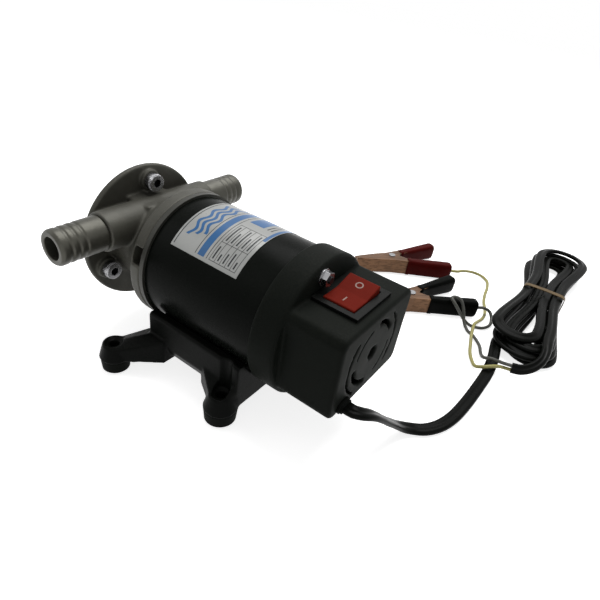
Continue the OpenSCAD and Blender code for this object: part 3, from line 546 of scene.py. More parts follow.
def tube_faces(rings: int, sides: int, closed: bool = False, first: int = 0) -> Faces:
    """Faces of a tube whose points are numbered ring by ring.

    Args:
        rings: number of rings.
        sides: points of a ring.
        closed: whether the last ring joins the first; otherwise both ends get a cap.
        first: number of the tube's first point.

    Returns:
        The faces.
    """
    faces: Faces = []
    for i in range(rings if closed else rings - 1):
        here, there = first + i * sides, first + (i + 1) % rings * sides
        for k in range(sides):
            after = (k + 1) % sides
            faces.append((here + k, here + after, there + after, there + k))
    if not closed:
        last = first + (rings - 1) * sides
        faces += [tuple(range(first, first + sides))[::-1], tuple(range(last, last + sides))]
    return faces


def piece_from(name: str, verts: Iterable[Point], faces: Iterable[Sequence[int]], finish: Finish,
               shop: Workshop, bend: float | None = 40.0) -> Piece:
    """Makes a smooth-shaded object from points in metres and faces.

    Args:
        name: the piece's name.
        verts: its points.
        faces: its faces, as numbers of points.
        finish: its finish.
        shop: the workshop that has the material.
        bend: angle in degrees over which an edge is shaded sharp, None for none.

    Returns:
        The object, linked to the scene.
    """
    mesh = bpy.data.meshes.new(name)
    mesh.from_pydata([tuple(v) for v in verts], [], [tuple(f) for f in faces])
    mesh.update()
    tidy_normals(mesh)
    mesh.materials.append(shop.material(finish))
    mesh.polygons.foreach_set("use_smooth", [True] * len(mesh.polygons))
    if bend is not None:
        mesh.set_sharp_from_angle(angle=math.radians(bend))
    return in_scene(name, mesh)


def tidy_normals(mesh: bpy.types.Mesh, merge: float = 1e-7) -> None:
    """Merges doubles and turns all faces of a closed mesh outwards."""
    work = bmesh.new()
    work.from_mesh(mesh)
    bmesh.ops.remove_doubles(work, verts=work.verts, dist=merge)
    bmesh.ops.recalc_face_normals(work, faces=work.faces)
    work.to_mesh(mesh)
    work.free()


def apply_modifiers(made: Piece) -> None:
    """Turns what the modifiers show into the object's own plain mesh."""
    bpy.context.view_layer.update()
    shown = made.evaluated_get(bpy.context.evaluated_depsgraph_get())
    result = bpy.data.meshes.new_from_object(shown)
    made.modifiers.clear()
    made.data = result


def hand_over(made: Piece, body: str, slot: Slot, *nodes: str) -> Piece:
    """Lets a piece ride on a body and lets it stand for CAD nodes.

    Args:
        made: the piece.
        body: the CAD body it rides on.
        slot: the record's material slot; not used.
        nodes: CAD nodes that it replaces.

    Returns:
        The piece.
    """
    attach(made, body)
    if nodes:
        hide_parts(*nodes)
    LOG.info("%s rides on %s", made.name, body)
    return made


def soften(node: str, name: str, finish: Finish, shop: Workshop, voxel: float, passes: int = 4) -> Piece:
    """Copies a CAD node as one skin with the small fillets of a casting or moulding.

    Args:
        node: the CAD node.
        name: the new piece's name.
        finish: its finish.
        shop: the workshop that has the material.
        voxel: size of the skin's cells in millimetres.
        passes: how often the skin is smoothed.

    Returns:
        The new piece, which isn't riding on anything yet.
    """
    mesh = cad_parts[node].data.copy()
    mesh.materials.clear()
    tidy_normals(mesh, 1e-6)
    made = in_scene(name, mesh)
    skin = made.modifiers.new("skin", "REMESH")
    skin.mode, skin.voxel_size, skin.use_smooth_shade = "VOXEL", voxel * MM, True
    even = made.modifiers.new("even", "SMOOTH")
    even.factor, even.iterations = 0.5, passes
    apply_modifiers(made)
    made.data.name = name
    made.data.materials.clear()
    made.data.materials.append(shop.material(finish))
    made.data.polygons.foreach_set("material_index", [0] * len(made.data.polygons))
    made.data.polygons.foreach_set("use_smooth", [True] * len(made.data.polygons))
    return made


def dress(nodes: Iterable[str], finish: Finish, shop: Workshop) -> None:
    """Gives CAD nodes a finish, without touching their meshes."""
    for name in nodes:
        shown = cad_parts[name]
        for place in shown.material_slots:
            place.link = "OBJECT"
            place.material = shop.material(finish)
        LOG.info("%s gets %s", name, finish.name)


# --- Swept tubes ---


def blend(p: Vector, q: Vector, start: float, stop: float, t: float) -> Vector:
    """Point at t on the line that is at p at start and at q at stop."""
    return (p * (stop - t) + q * (t - start)) / (stop - start)


def spline(points: Sequence[Vector], step: float) -> list[Vector]:
    """Smooth line through points, as a centripetal curve sampled about every step metres."""
    shortest = 1e-6  # keeps two equal points apart
    ends = [2 * points[0] - points[1], *points, 2 * points[-1] - points[-2]]
    line: list[Vector] = []
    for a, b, c, d in zip(ends, ends[1:], ends[2:], ends[3:]):
        pairs = ((a, b), (b, c), (c, d))
        knots = [0.0]
        for p, q in pairs:
            knots.append(knots[-1] + math.sqrt(max(shortest, (q - p).length)))
        count = max(1, round((c - b).length / step))
        for k in range(count):
            t = knots[1] + (knots[2] - knots[1]) * k / count
            low = [blend(p, q, knots[n], knots[n + 1], t) for n, (p, q) in enumerate(pairs)]
            mid = [blend(low[n], low[n + 1], knots[n], knots[n + 2], t) for n in range(2)]
            line.append(blend(mid[0], mid[1], knots[1], knots[2], t))
    line.append(points[-1].copy())
    return line


def headings(line: Sequence[Vector]) -> list[Vector]:
    """Direction of a line at each of its points."""
    last = len(line) - 1
    return [(line[min(i + 1, last)] - line[max(i - 1, 0)]).normalized() for i in range(last + 1)]


def round_section(radius: float, sides: int) -> list[tuple[float, float]]:
    """Circle as points, in metres."""
    angles = [2 * math.pi * k / sides for k in range(sides)]
    return [(radius * math.cos(a), radius * math.sin(a)) for a in angles]


def squared(angle: float, power: int) -> tuple[float, float]:
    """Point of a unit circle that is squared off by a power, as across and up."""
    c, d = math.cos(angle), math.sin(angle)
    stretch = (abs(c) ** power + abs(d) ** power) ** (-1 / power)
    return c * stretch, d * stretch


def twin_section(width: float, thick: float, sides: int = 28) -> list[tuple[float, float]]:
    """Outline of a flat twin lead: two round cores with a shallow valley between them.

    Args:
        width: size across both cores in metres.
        thick: size of one core in metres.
        sides: number of points.

    Returns:
        Points as (along the width, along the thickness).
    """
    flatness, valley, narrowness = 0.62, 0.3, 3.2
    points = []
    for k in range(sides):
        a = 2 * math.pi * k / sides
        u, v = math.cos(a), math.sin(a)
        flat = math.copysign(abs(v) ** flatness, v)
        waist = 1.0 - valley * math.exp(-((u * narrowness) ** 2))
        points.append((width / 2 * u, thick / 2 * flat * waist))
    return points


def sweep(name: str, line: Sequence[Vector], section: Sequence[tuple[float, float]], turns: Sequence[float],
          finish: Finish, shop: Workshop) -> Piece:
    """Closed tube with one section along a line.

    Args:
        name: the piece's name.
        line: ring centres in metres.
        section: the section's points, across and upwards.
        turns: roll of the section at each centre, in degrees.
        finish: the finish.
        shop: the workshop that has the material.

    Returns:
        The tube.
    """
    steep = 0.15  # below this the line is too upright to give a level side
    verts: list[Vector] = []
    side = Vector((0.0, 1.0, 0.0))
    for centre, t, turn in zip(line, headings(line), turns):
        level = Vector((-t.y, t.x, 0.0))
        side = level.normalized() if level.length > steep else (side - side.dot(t) * t).normalized()
        up = t.cross(side).normalized()
        c, d = math.cos(math.radians(turn)), math.sin(math.radians(turn))
        verts += [centre + ((u * c - v * d) * side + (u * d + v * c) * up) for u, v in section]
    return piece_from(name, verts, tube_faces(len(line), len(section)), finish, shop, 60.0)


# --- Geometry Nodes trees ---


def ring_tree(name: str, make_item: Callable[[Shade, Node], Socket], inputs: Inputs) -> Tree:
    """Tree that stands a ring of items, in a plane across X, on each point of its geometry.

    Args:
        name: the tree's name.
        make_item: adds the nodes of one item, which points along Z, and returns its socket.
        inputs: further inputs, as socket type suffix and default by name.

    Returns:
        The tree, with inputs for the count, the ring's radius and the material.
    """
    tree = bpy.data.node_groups.new(name, "GeometryNodeTree")
    add_sockets(tree, "INPUT", {
        "Geometry": ("Geometry", None), "Count": ("Int", 8), "Ring Radius": ("Float", 0.01), **inputs,
        "Material": ("Material", None),
    })
    add_sockets(tree, "OUTPUT", {"Geometry": ("Geometry", None)})
    s = Shade(tree)
    given, out = s.add("NodeGroupInput"), s.add("NodeGroupOutput")
    size = {"Vertices": given.outputs["Count"], "Radius": given.outputs["Ring Radius"]}
    ring = s.add("GeometryNodeMeshCircle", size).outputs[0]
    items = {"Points": ring, "Instance": make_item(s, given)}
    spaced = s.add("GeometryNodeInstanceOnPoints", items).outputs[0]
    upright = {"Geometry": spaced, "Rotation": (0.0, math.pi / 2, 0.0)}
    across = s.add("GeometryNodeTransform", upright).outputs[0]
    rings = {"Points": given.outputs["Geometry"], "Instance": across}
    placed = s.add("GeometryNodeInstanceOnPoints", rings).outputs[0]
    real = s.add("GeometryNodeRealizeInstances", {"Geometry": placed}).outputs[0]
    smooth = s.add("GeometryNodeSetShadeSmooth", {"Geometry": real}).outputs[0]
    paint = {"Geometry": smooth, "Material": given.outputs["Material"]}
    s.link(s.add("GeometryNodeSetMaterial", paint).outputs[0], out.inputs[0])
    return tree


def ridge_item(s: Shade, given: Node) -> Socket:
    """One round-backed ridge of a knurl."""
    size = {"Vertices": 6, "Radius": given.outputs["Ridge Radius"], "Depth": given.outputs["Ridge Length"]}
    return s.add("GeometryNodeMeshCylinder", size).outputs["Mesh"]


def ball_item(s: Shade, given: Node) -> Socket:
    """One ball of a bearing."""
    size = {"Segments": 16, "Rings": 10, "Radius": given.outputs["Ball Radius"]}
    return s.add("GeometryNodeMeshUVSphere", size).outputs["Mesh"]


def grow(name: str, points: Sequence[Vector], tree: Tree, values: dict[str, object]) -> Piece:
    """Runs a Geometry Nodes tree on loose points and keeps the result as a plain mesh.

    Args:
        name: the piece's name.
        points: the points in metres.
        tree: the tree.
        values: its inputs by name.

    Returns:
        The piece.
    """
    mesh = bpy.data.meshes.new(name)
    mesh.from_pydata([tuple(p) for p in points], [], [])
    made = in_scene(name, mesh)
    modifier = made.modifiers.new("repeat", "NODES")
    modifier.node_group = tree
    for item in tree.interface.items_tree:
        if item.item_type == "SOCKET" and item.in_out == "INPUT" and item.name in values:
            modifier[item.identifier] = values[item.name]
    apply_modifiers(made)
    made.data.name = name
    return made


# --- The camera and the lead ---


@dataclass
class Viewpoint:
    """The camera, set by where it looks from.

    Attributes:
        target: point on the motor's rim that the offsets count from, in millimetres.
        azimuth: degrees round from the front.
        elevation: degrees above the horizon.
        roll: tilt in degrees.
        distance: from the target along the line of sight, in millimetres.
        offset: the target's place right of and above the middle of the view, in millimetres.
        lens: focal length on a 36 mm sensor.
        lens: focal length in millimetres.
        sensor: width of the sensor in millimetres.
        clip: nearest and farthest distance that is shown, in metres.
    """

    target: Point = (6.0, 0.0, 56.0)
    azimuth: float = 31.257
    elevation: float = 33.919
    roll: float = 9.142
    distance: float = 303.256
    offset: tuple[float, float] = (-64.423, 26.273)
    lens: float = 30.0
    sensor: float = 36.0
    clip: tuple[float, float] = (0.01, 20.0)

    def build(self) -> Piece:
        """Makes the scene's camera."""
        a, e, r = (math.radians(v) for v in (self.azimuth, self.elevation, self.roll))
        back = Vector((math.sin(a) * math.cos(e), -math.cos(a) * math.cos(e), math.sin(e)))
        right = Vector((math.cos(a), math.sin(a), 0.0))
        up = back.cross(right)
        level_right = right * math.cos(r) + up * math.sin(r)
        level_up = up * math.cos(r) - right * math.sin(r)
        across, above = self.offset
        place = Vector(self.target) - across * level_right - above * level_up + self.distance * back
        data = bpy.data.cameras.new("camera")
        data.lens, data.sensor_width = self.lens, self.sensor
        data.clip_start, data.clip_end = self.clip
        camera = in_scene("camera", data)
        turn = Matrix((level_right, level_up, back)).transposed().to_4x4()
        camera.matrix_world = Matrix.Translation(place * MM) @ turn
        bpy.context.scene.camera = camera
        return camera


@dataclass
class Hank:
    """The folded part of the lead: flat loops in layers of up to one and a half loops.

    It lies inside the box of the CAD hank. All sizes are in millimetres.

    Attributes:
        centre: the middle of the hank on the floor.
        turn: direction of the hank, in degrees from +X.
        run: half the length of the straight runs.
        slide: how far along the lowest and the highest loops lie.
        fan: how far the lowest loops are turned one way and the highest the other, in degrees.
        outer: half the width of an outer loop.
        inner: half the width of an inner loop.
        waist: how far the band draws all loops in.
        pinch: share of a run over which it is drawn in.
        low: height of the lowest loop.
        layer: height of a layer.
        tilt: how far the loops' outer edges hang down, in degrees.
        rings: rings of a loop.
        run_rings: rings of a run.
        fold_rings: rings of a fold.
        climbs: rings where a run climbs to the next layer.
        changes: rings where a fold changes between outer and inner, with the way it goes.
        last: the last ring.
        tail: the stripped end's way, as along, across and height.
        tail_step: distance between the rings of the stripped end.
    """

    centre: tuple[float, float] = (179.2, 232.0)
    turn: float = 93.5
    run: float = 71.0
    slide: tuple[float, float] = (-10.0, -5.0)
    fan: float = 2.5
    outer: float = 18.3
    inner: float = 10.4
    waist: float = 6.7
    pinch: float = 0.8
    low: float = 3.75
    layer: float = 3.9
    tilt: float = 18.0
    rings: int = 24
    run_rings: int = 4
    fold_rings: int = 8
    climbs: tuple[int, ...] = (36, 72, 108)
    changes: tuple[tuple[int, int], ...] = ((16, -1), (52, 1), (88, -1), (112, 1))
    last: int = 136
    tail: tuple[Point, ...] = (
        (-85, -15.6, 15.2), (-94, -16.4, 14), (-102.2, -15.7, 11.6), (-108.6, -12.2, 8.4),
        (-112.7, -6.4, 5.8), (-114.2, -0.6, 5.2),
    )
    tail_step: float = 2.0

    @property
    def along(self) -> Vector:
        """Direction of the hank."""
        return Vector((math.cos(math.radians(self.turn)), math.sin(math.radians(self.turn)), 0.0))

    @property
    def side(self) -> Vector:
        """Level direction across the hank."""
        return Vector((-self.along.y, self.along.x, 0.0))

    @property
    def leave(self) -> Vector:
        """Level direction of the stripped end."""
        step = self.place(*self.tail[-1]) - self.place(*self.tail[-2])
        return Vector((step.x, step.y, 0.0)).normalized()

    def place(self, u: float, v: float, z: float) -> Vector:
        """Point at u along the hank, v across it and z up, in millimetres."""
        return Vector((*self.centre, z)) + u * self.along + v * self.side

    def level(self, i: float) -> float:
        """Layer that ring i lies in, counted from 0 and not whole while it climbs."""
        return sum(eased((i - start) / self.run_rings) for start in self.climbs)

    def reach(self, i: float) -> float:
        """Half the width of the loop at ring i, where nothing draws it in."""
        moved = sum(way * eased((i - start) / self.fold_rings) for start, way in self.changes)
        return self.outer + (self.outer - self.inner) * moved

    def drawn(self, u: float) -> float:
        """How far the loops are drawn in, at distance u along from their middle."""
        return self.waist * eased((self.run - abs(u)) / (self.pinch * self.run))

    def point(self, i: float) -> Vector:
        """Place of ring i, in millimetres."""
        k = i % self.rings
        a = self.reach(i)
        step = 2 * self.run / self.run_rings
        half = self.run_rings + self.fold_rings
        if k < self.run_rings:
            u = -self.run + k * step
            v = a - self.drawn(u)
        elif k < half:
            q = math.pi * (k - self.run_rings) / self.fold_rings
            u, v = self.run + a * math.sin(q), a * math.cos(q)
        elif k < half + self.run_rings:
            u = self.run - (k - half) * step
            v = self.drawn(u) - a
        else:
            q = math.pi * (k - half - self.run_rings) / self.fold_rings
            u, v = -self.run - a * math.sin(q), -a * math.cos(q)
        share = self.level(i) / len(self.climbs)
        u += self.slide[0] + (self.slide[1] - self.slide[0]) * share
        q = math.radians(self.fan * (1 - 2 * share))
        height = self.low + self.layer * self.level(i)
        return self.place(u * math.cos(q) - v * math.sin(q), v * math.cos(q) + u * math.sin(q), height)

    def line(self, per_ring: int = 6) -> tuple[list[Vector], list[float]]:
        """Centre line of the hank and its stripped end, in millimetres, and its roll in degrees."""
        loops = [self.point(i / per_ring) for i in range(self.last * per_ring + 1)]
        knots = [loops[-1 - per_ring // 2], loops[-1], *[self.place(*t) for t in self.tail]]
        first = max(1, round((knots[1] - knots[0]).length / self.tail_step))
        end = spline(knots, self.tail_step)[first + 1:]
        shares = [eased((n + 1) / len(end)) for n in range(len(end))]
        rolls = [-self.tilt] * len(loops) + [-self.tilt - (90 - self.tilt) * share for share in shares]
        return loops + end, rolls


@dataclass
class BatteryLead:
    """Flat twin lead from the gland to the hank, its two cores and its rubber band.

    All sizes are in millimetres.

    Attributes:
        width: size across both cores.
        thick: size across one core.
        wire: diameter of a single core.
        core_lift: how far the cores leave above and below the middle of the lead's end.
        core_start: how far a core runs straight on out of the lead.
        core_grip: where a core runs along its clamp's handle, as distances from the pivot.
        lead_in: how far before the hank the lead already lies in line with it.
        step: distance between the rings of the free stretch.
        core_step: distance between the rings of a core.
        evenings: how often the roll is evened out along the free stretch.
        band_at: where the band sits along the hank, from its middle.
        band_slack: how far the band's middle lies outside the outer loop's centre line.
        band_half: half the band's width.
        band_in: how far the band's inside lies under its middle.
        band_out: how far its outside lies over it.
        band_taper: width of the band's outside, against its inside.
        band_lean: how far the band's top leans along the hank, and its underside the other way.
        band_waver: how far it wavers about that.
        hank: the folded part.
        route: the free stretch's way.
        flat_until: last point of the route at which the lead lies flat.
        tilted_from: first point at which it is rolled as in the hank.
        yellow_route: the yellow core's way.
        grey_route: the grey core's way.
    """

    width: float = 8.0
    thick: float = 3.8
    wire: float = 2.4
    core_lift: float = 1.7
    core_start: float = 4.0
    core_grip: tuple[float, ...] = (59.0, 50.2, 36.0, 22.0)
    lead_in: float = 7.0
    step: float = 2.2
    core_step: float = 1.5
    evenings: int = 60
    band_at: float = -12.0
    band_slack: float = 4.5
    band_half: float = 2.2
    band_in: float = 0.3
    band_out: float = 0.28
    band_taper: float = 0.96
    band_lean: float = 0.3
    band_waver: float = 0.1
    hank: Hank = field(default_factory=Hank)
    route: tuple[Point, ...] = (
        (134.5, -22.5, 37.3), (138.5, -22.5, 37.3), (142.2, -19.6, 36.2), (145, -14, 33), (147, -7.2, 27.2),
        (148.5, 0, 20.2), (150.4, 8.8, 12.2), (153.4, 16.6, 5.6), (158, 22.4, 2.6), (164.2, 27.8, 2.1),
        (169.6, 36.4, 2.1), (173, 48, 2.1), (174.6, 62, 2.1), (175.3, 76, 2.1), (175.6, 89.4, 2.1),
        (175.7, 100, 2.1), (175.2, 109, 2.3), (174.2, 118, 2.7), (172.6, 127, 3.1), (170.6, 136, 3.5),
    )
    flat_until: int = 15
    tilted_from: int = 21
    yellow_route: tuple[Point, ...] = (
        (179.8, 112.6, 5.4), (176, 107.4, 6.4), (171.4, 104, 5.2), (166.8, 105, 2.4), (163, 110, 1.4),
        (158.6, 118, 1.4), (155.4, 127, 2.4), (152.6, 134.6, 4.2), (149.4, 150, 4.2), (149.6, 158, 2.4),
        (150.6, 166, 1.4), (150.2, 174, 1.4), (147.4, 183, 1.4), (143.4, 192, 1.4), (140.2, 204, 1.4),
        (137.6, 218, 1.4), (133.4, 229, 1.4), (126.6, 233.6, 1.6), (120, 231, 3), (115.6, 224, 5.2),
        (112.6, 216.8, 7),
    )
    grey_route: tuple[Point, ...] = (
        (178, 114.8, 7.5), (173.4, 113.4, 7.8), (168.4, 115.8, 4.4), (164.8, 123, 1.4), (161, 131, 1.4),
        (154, 138.6, 1.4), (147, 143, 1.4), (142, 147, 4.6), (138.4, 150.4, 11), (133, 153.2, 17),
        (128.6, 153.2, 17.3), (127.2, 149.6, 17.3), (131, 146.6, 16), (136.8, 146, 11), (141.6, 149, 4.4),
        (146, 150.8, 1.4), (151, 151.6, 1.4), (155.4, 155, 1.4), (158, 162.4, 1.4), (156.8, 170, 2.4),
        (152.8, 174.2, 5.6),
    )

    def roll(self, k: float) -> float:
        """Roll of the flat section at route point k, in degrees: flat, then tilted as in the hank."""
        return -self.hank.tilt * eased((k - self.flat_until) / (self.tilted_from - self.flat_until))

    def build_lead(self, shop: Workshop) -> tuple[Piece, list[Vector]]:
        """Makes the lead from the gland to its stripped end, as one tube, and gives its centre line."""
        wound, rolls = self.hank.line()
        hank = [to_metres(p) for p in wound]
        lead_in = hank[0] - self.lead_in * MM * (hank[4] - hank[0]).normalized()
        given = [to_metres(p) for p in self.route] + [lead_in, hank[0]]
        free = spline(given, self.step * MM)
        nearest = [min(range(len(given)), key=lambda j: (given[j] - p).length) for p in free]
        turns = [self.roll(j) for j in nearest]
        for _ in range(self.evenings):
            inner = [(a + 2 * b + c) / 4 for a, b, c in zip(turns, turns[1:], turns[2:])]
            turns = [turns[0], *inner, turns[-1]]
        line = free[:-1] + hank
        section = twin_section(self.width * MM, self.thick * MM)
        made = sweep("battery_lead", line, section, turns[:-1] + rolls, SHEATH, shop)
        return hand_over(made, "pump", Slot.SHEATH, "power_cord", "cord_hank"), line

    def core_line(
        self, lift: float, route: Sequence[Point], handle: Callable[[float], Vector],
    ) -> list[Vector]:
        """Centre line of one core, from the stripped end to a clamp's handle.

        Args:
            lift: height of the core above the middle of the lead's end, in millimetres.
            route: points of its way, in millimetres.
            handle: gives the point at a distance along the clamp's handle, in millimetres.

        Returns:
            Points in metres, about 1.5 mm apart.
        """
        end = self.hank.line()[0][-1] + Vector((0.0, 0.0, lift))
        way = [Vector(p) for p in route] + [handle(s) for s in self.core_grip]
        points = [end, end + self.core_start * self.hank.leave, *way]
        return spline([to_metres(p) for p in points], self.core_step * MM)

    def build_core(self, name: str, lift: float, route: Sequence[Point], clamp: Clamp, finish: Finish,
                   node: str, shop: Workshop) -> Piece:
        line = self.core_line(lift, route, clamp.on_handle)
        made = sweep(name, line, round_section(self.wire / 2 * MM, 14), [0.0] * len(line), finish, shop)
        hand_over(made, "pump", finish.slot, node)
        return made

    def build_band(self, shop: Workshop) -> Piece:
        """Makes the rubber band round the waist, with the slight lean and waver of a stretched one."""
        low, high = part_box("rubber_band")
        middle = to_metres(self.hank.place(self.band_at, 0.0, (low.z + high.z) / 2 / MM))
        along, side, up = self.hank.along, -self.hank.side, Vector((0.0, 0.0, 1.0))
        half_wide = (self.hank.outer - self.hank.drawn(self.band_at) + self.band_slack) * MM
        half_high = (high.z - low.z) / 2 - self.band_in * MM
        wide, narrow = self.band_half, self.band_half * self.band_taper
        section = (
            (-wide, -self.band_in), (wide, -self.band_in), (narrow, self.band_out), (-narrow, self.band_out),
        )
        steps, power, waves = 120, 8, 5
        verts: list[Vector] = []
        for i in range(steps):
            q = 2 * math.pi * i / steps
            across, rise = squared(q, power)
            drift = self.band_lean * math.sin(q) + self.band_waver * math.sin(waves * q)
            centre = middle + side * half_wide * across + up * half_high * rise + along * drift * MM
            outward = (side * math.cos(q) + up * math.sin(q)).normalized()
            verts += [centre + along * u * MM + outward * v * MM for u, v in section]
        faces = tube_faces(steps, len(section), closed=True)
        made = piece_from("rubber_band_loop", verts, faces, BAND, shop, 50.0)
        return hand_over(made, "pump", Slot.BAND, "rubber_band")

    def build(self, clamps: dict[str, Clamp], shop: Workshop) -> None:
        lead, line = self.build_lead(shop)
        band = self.build_band(shop)
        for name, lift, route, clamp, finish, node in (
            ("yellow_core", -self.core_lift, self.yellow_route, clamps["red"], YELLOW, "yellow_wire"),
            ("grey_core", self.core_lift, self.grey_route, clamps["black"], GREY, "grey_wire"),
        ):
            self.build_core(name, lift, route, clamp, finish, node, shop)


# --- Clamps ---


@dataclass
class Clamp:
    """A battery clamp that lies on its side: two pressed halves, a rivet, a spring and two sleeves.

    Attributes:
        key: the colour that its CAD nodes are named by.
        pivot: place of the rivet, in millimetres.
        turn: direction of the handles' middle, in degrees from +X.
        sleeve_finish: finish of its two sleeves.
        half_angle: angle between a handle and the middle, in degrees.
        handle_mid: how far out the middle of a handle lies, in millimetres.
        mid_z: height of its middle, in millimetres.
        sleeve_from: distance from the rivet to a sleeve's mouth, in millimetres.
        sleeve_stations: shape of a sleeve, as distance from its mouth and width and height against its body.
        pieces: the pieces made so far.
    """

    key: str
    pivot: tuple[float, float]
    turn: float
    sleeve_finish: Finish
    half_angle: float = 14.0
    handle_mid: float = 5.1
    mid_z: float = 7.5
    sleeve_from: float = 13.0
    sleeve_stations: tuple[tuple[float, float, float], ...] = (
        (0.0, 0.82, 0.88), (0.0, 1.0, 1.0), (0.5, 1.04, 1.03), (2.6, 1.04, 1.03), (3.4, 0.97, 0.97),
        (9.0, 0.97, 0.97), (20.0, 0.97, 0.97), (30.0, 0.97, 0.97), (35.6, 0.96, 0.96), (37.6, 0.92, 0.92),
        (38.6, 0.8, 0.8), (38.9, 0.55, 0.55),
    )
    pieces: list[Piece] = field(default_factory=list)

    def place(self, x: float, y: float, z: float) -> Vector:
        """A point of the clamp's own frame, jaws towards -X, in millimetres."""
        a = math.radians(self.turn)
        return Vector((
            self.pivot[0] + x * math.cos(a) - y * math.sin(a),
            self.pivot[1] + x * math.sin(a) + y * math.cos(a),
            z,
        ))

    def on_handle(self, s: float, n: float | None = None, z: float | None = None, side: int = -1) -> Vector:
        """A point at distance s along a handle, n across it and z up.

        Args:
            s: distance from the pivot in millimetres.
            n: distance outwards from the pivot's line, the handle's middle if left out.
            z: height, the clamp's middle if left out.
            side: -1 for the fixed handle and 1 for the moving one.

        Returns:
            The point in millimetres.
        """
        a = math.radians(self.half_angle)
        n = self.handle_mid if n is None else n
        x = s * math.cos(a) - n * math.sin(a)
        y = s * math.sin(a) + n * math.cos(a)
        return self.place(x, side * y, self.mid_z if z is None else z)

    def build_sleeve(self, side: int, shop: Workshop) -> Piece:
        """Lofts one soft sleeve, wider at its blind end, with a lip at its mouth."""
        part, body = ("fixed", "pump") if side < 0 else ("moving", f"{self.key}_jaw")
        mouth_n, mouth_z = (3.9, 7.0) if side < 0 else (3.45, 5.3)
        end_n, end_z, reach, sides, power = 4.85, 7.45, 39.0, 44, 4
        verts: list[Vector] = []
        for s, wide, tall in self.sleeve_stations:
            t = s / reach
            middle = 5.2 + 0.3 * t
            half_n, half_z = mouth_n + (end_n - mouth_n) * t, mouth_z + (end_z - mouth_z) * t
            for k in range(sides):
                across, rise = squared(2 * math.pi * k / sides, power)
                n, z = middle + half_n * wide * across, self.mid_z + half_z * tall * rise
                verts.append(to_metres(self.on_handle(self.sleeve_from + s, n, z, side)))
        faces = tube_faces(len(self.sleeve_stations), sides)
        made = piece_from(f"{self.key}_{part}_grip", verts, faces, self.sleeve_finish, shop, 50.0)
        return hand_over(made, body, self.sleeve_finish.slot, f"{self.key}_{part}_sleeve")

    def build_spring(self, shop: Workshop) -> Piece:
        """Winds the spring round the rivet, with its two legs."""
        radius, low, high, turns, wire = 2.9, 5.3, 9.7, 3.5, 0.8
        steps, sides, ring_step = 84, 8, 0.6
        coil = []
        for i in range(steps + 1):
            q = 2 * math.pi * turns * i / steps
            coil.append((-radius * math.sin(q), -radius * math.cos(q), low + (high - low) * i / steps))
        low_leg = [(8.2, -8.2, low), (5, -5, low), (2, -3.2, low)]
        high_leg = [(2, 3.1, high), (5, 3.9, high), (8, 5, high)]
        local = [*low_leg, *coil, *high_leg]
        line = spline([to_metres(self.place(*p)) for p in local], ring_step * MM)
        section = round_section(wire / 2 * MM, sides)
        made = sweep(f"{self.key}_spring_wire", line, section, [0.0] * len(line), BRIGHT, shop)
        return hand_over(made, "pump", Slot.STEEL, f"{self.key}_spring")

    def build(self, shop: Workshop) -> None:
        """Makes the clamp's own pieces and dresses its CAD nodes."""
        for part, body in (("fixed", "pump"), ("moving", f"{self.key}_jaw")):
            node = f"{self.key}_{part}_jaw"
            jaw = soften(node, f"{self.key}_{part}_pressing", COPPER, shop, 0.32, 2)
            self.pieces.append(hand_over(jaw, body, Slot.COPPER, node))
        dress([f"{self.key}_rivet"], BRIGHT, shop)
        self.pieces += [self.build_sleeve(-1, shop), self.build_sleeve(1, shop), self.build_spring(shop)]
        self.pieces.append(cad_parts[f"{self.key}_rivet"])


# --- Pump head ---


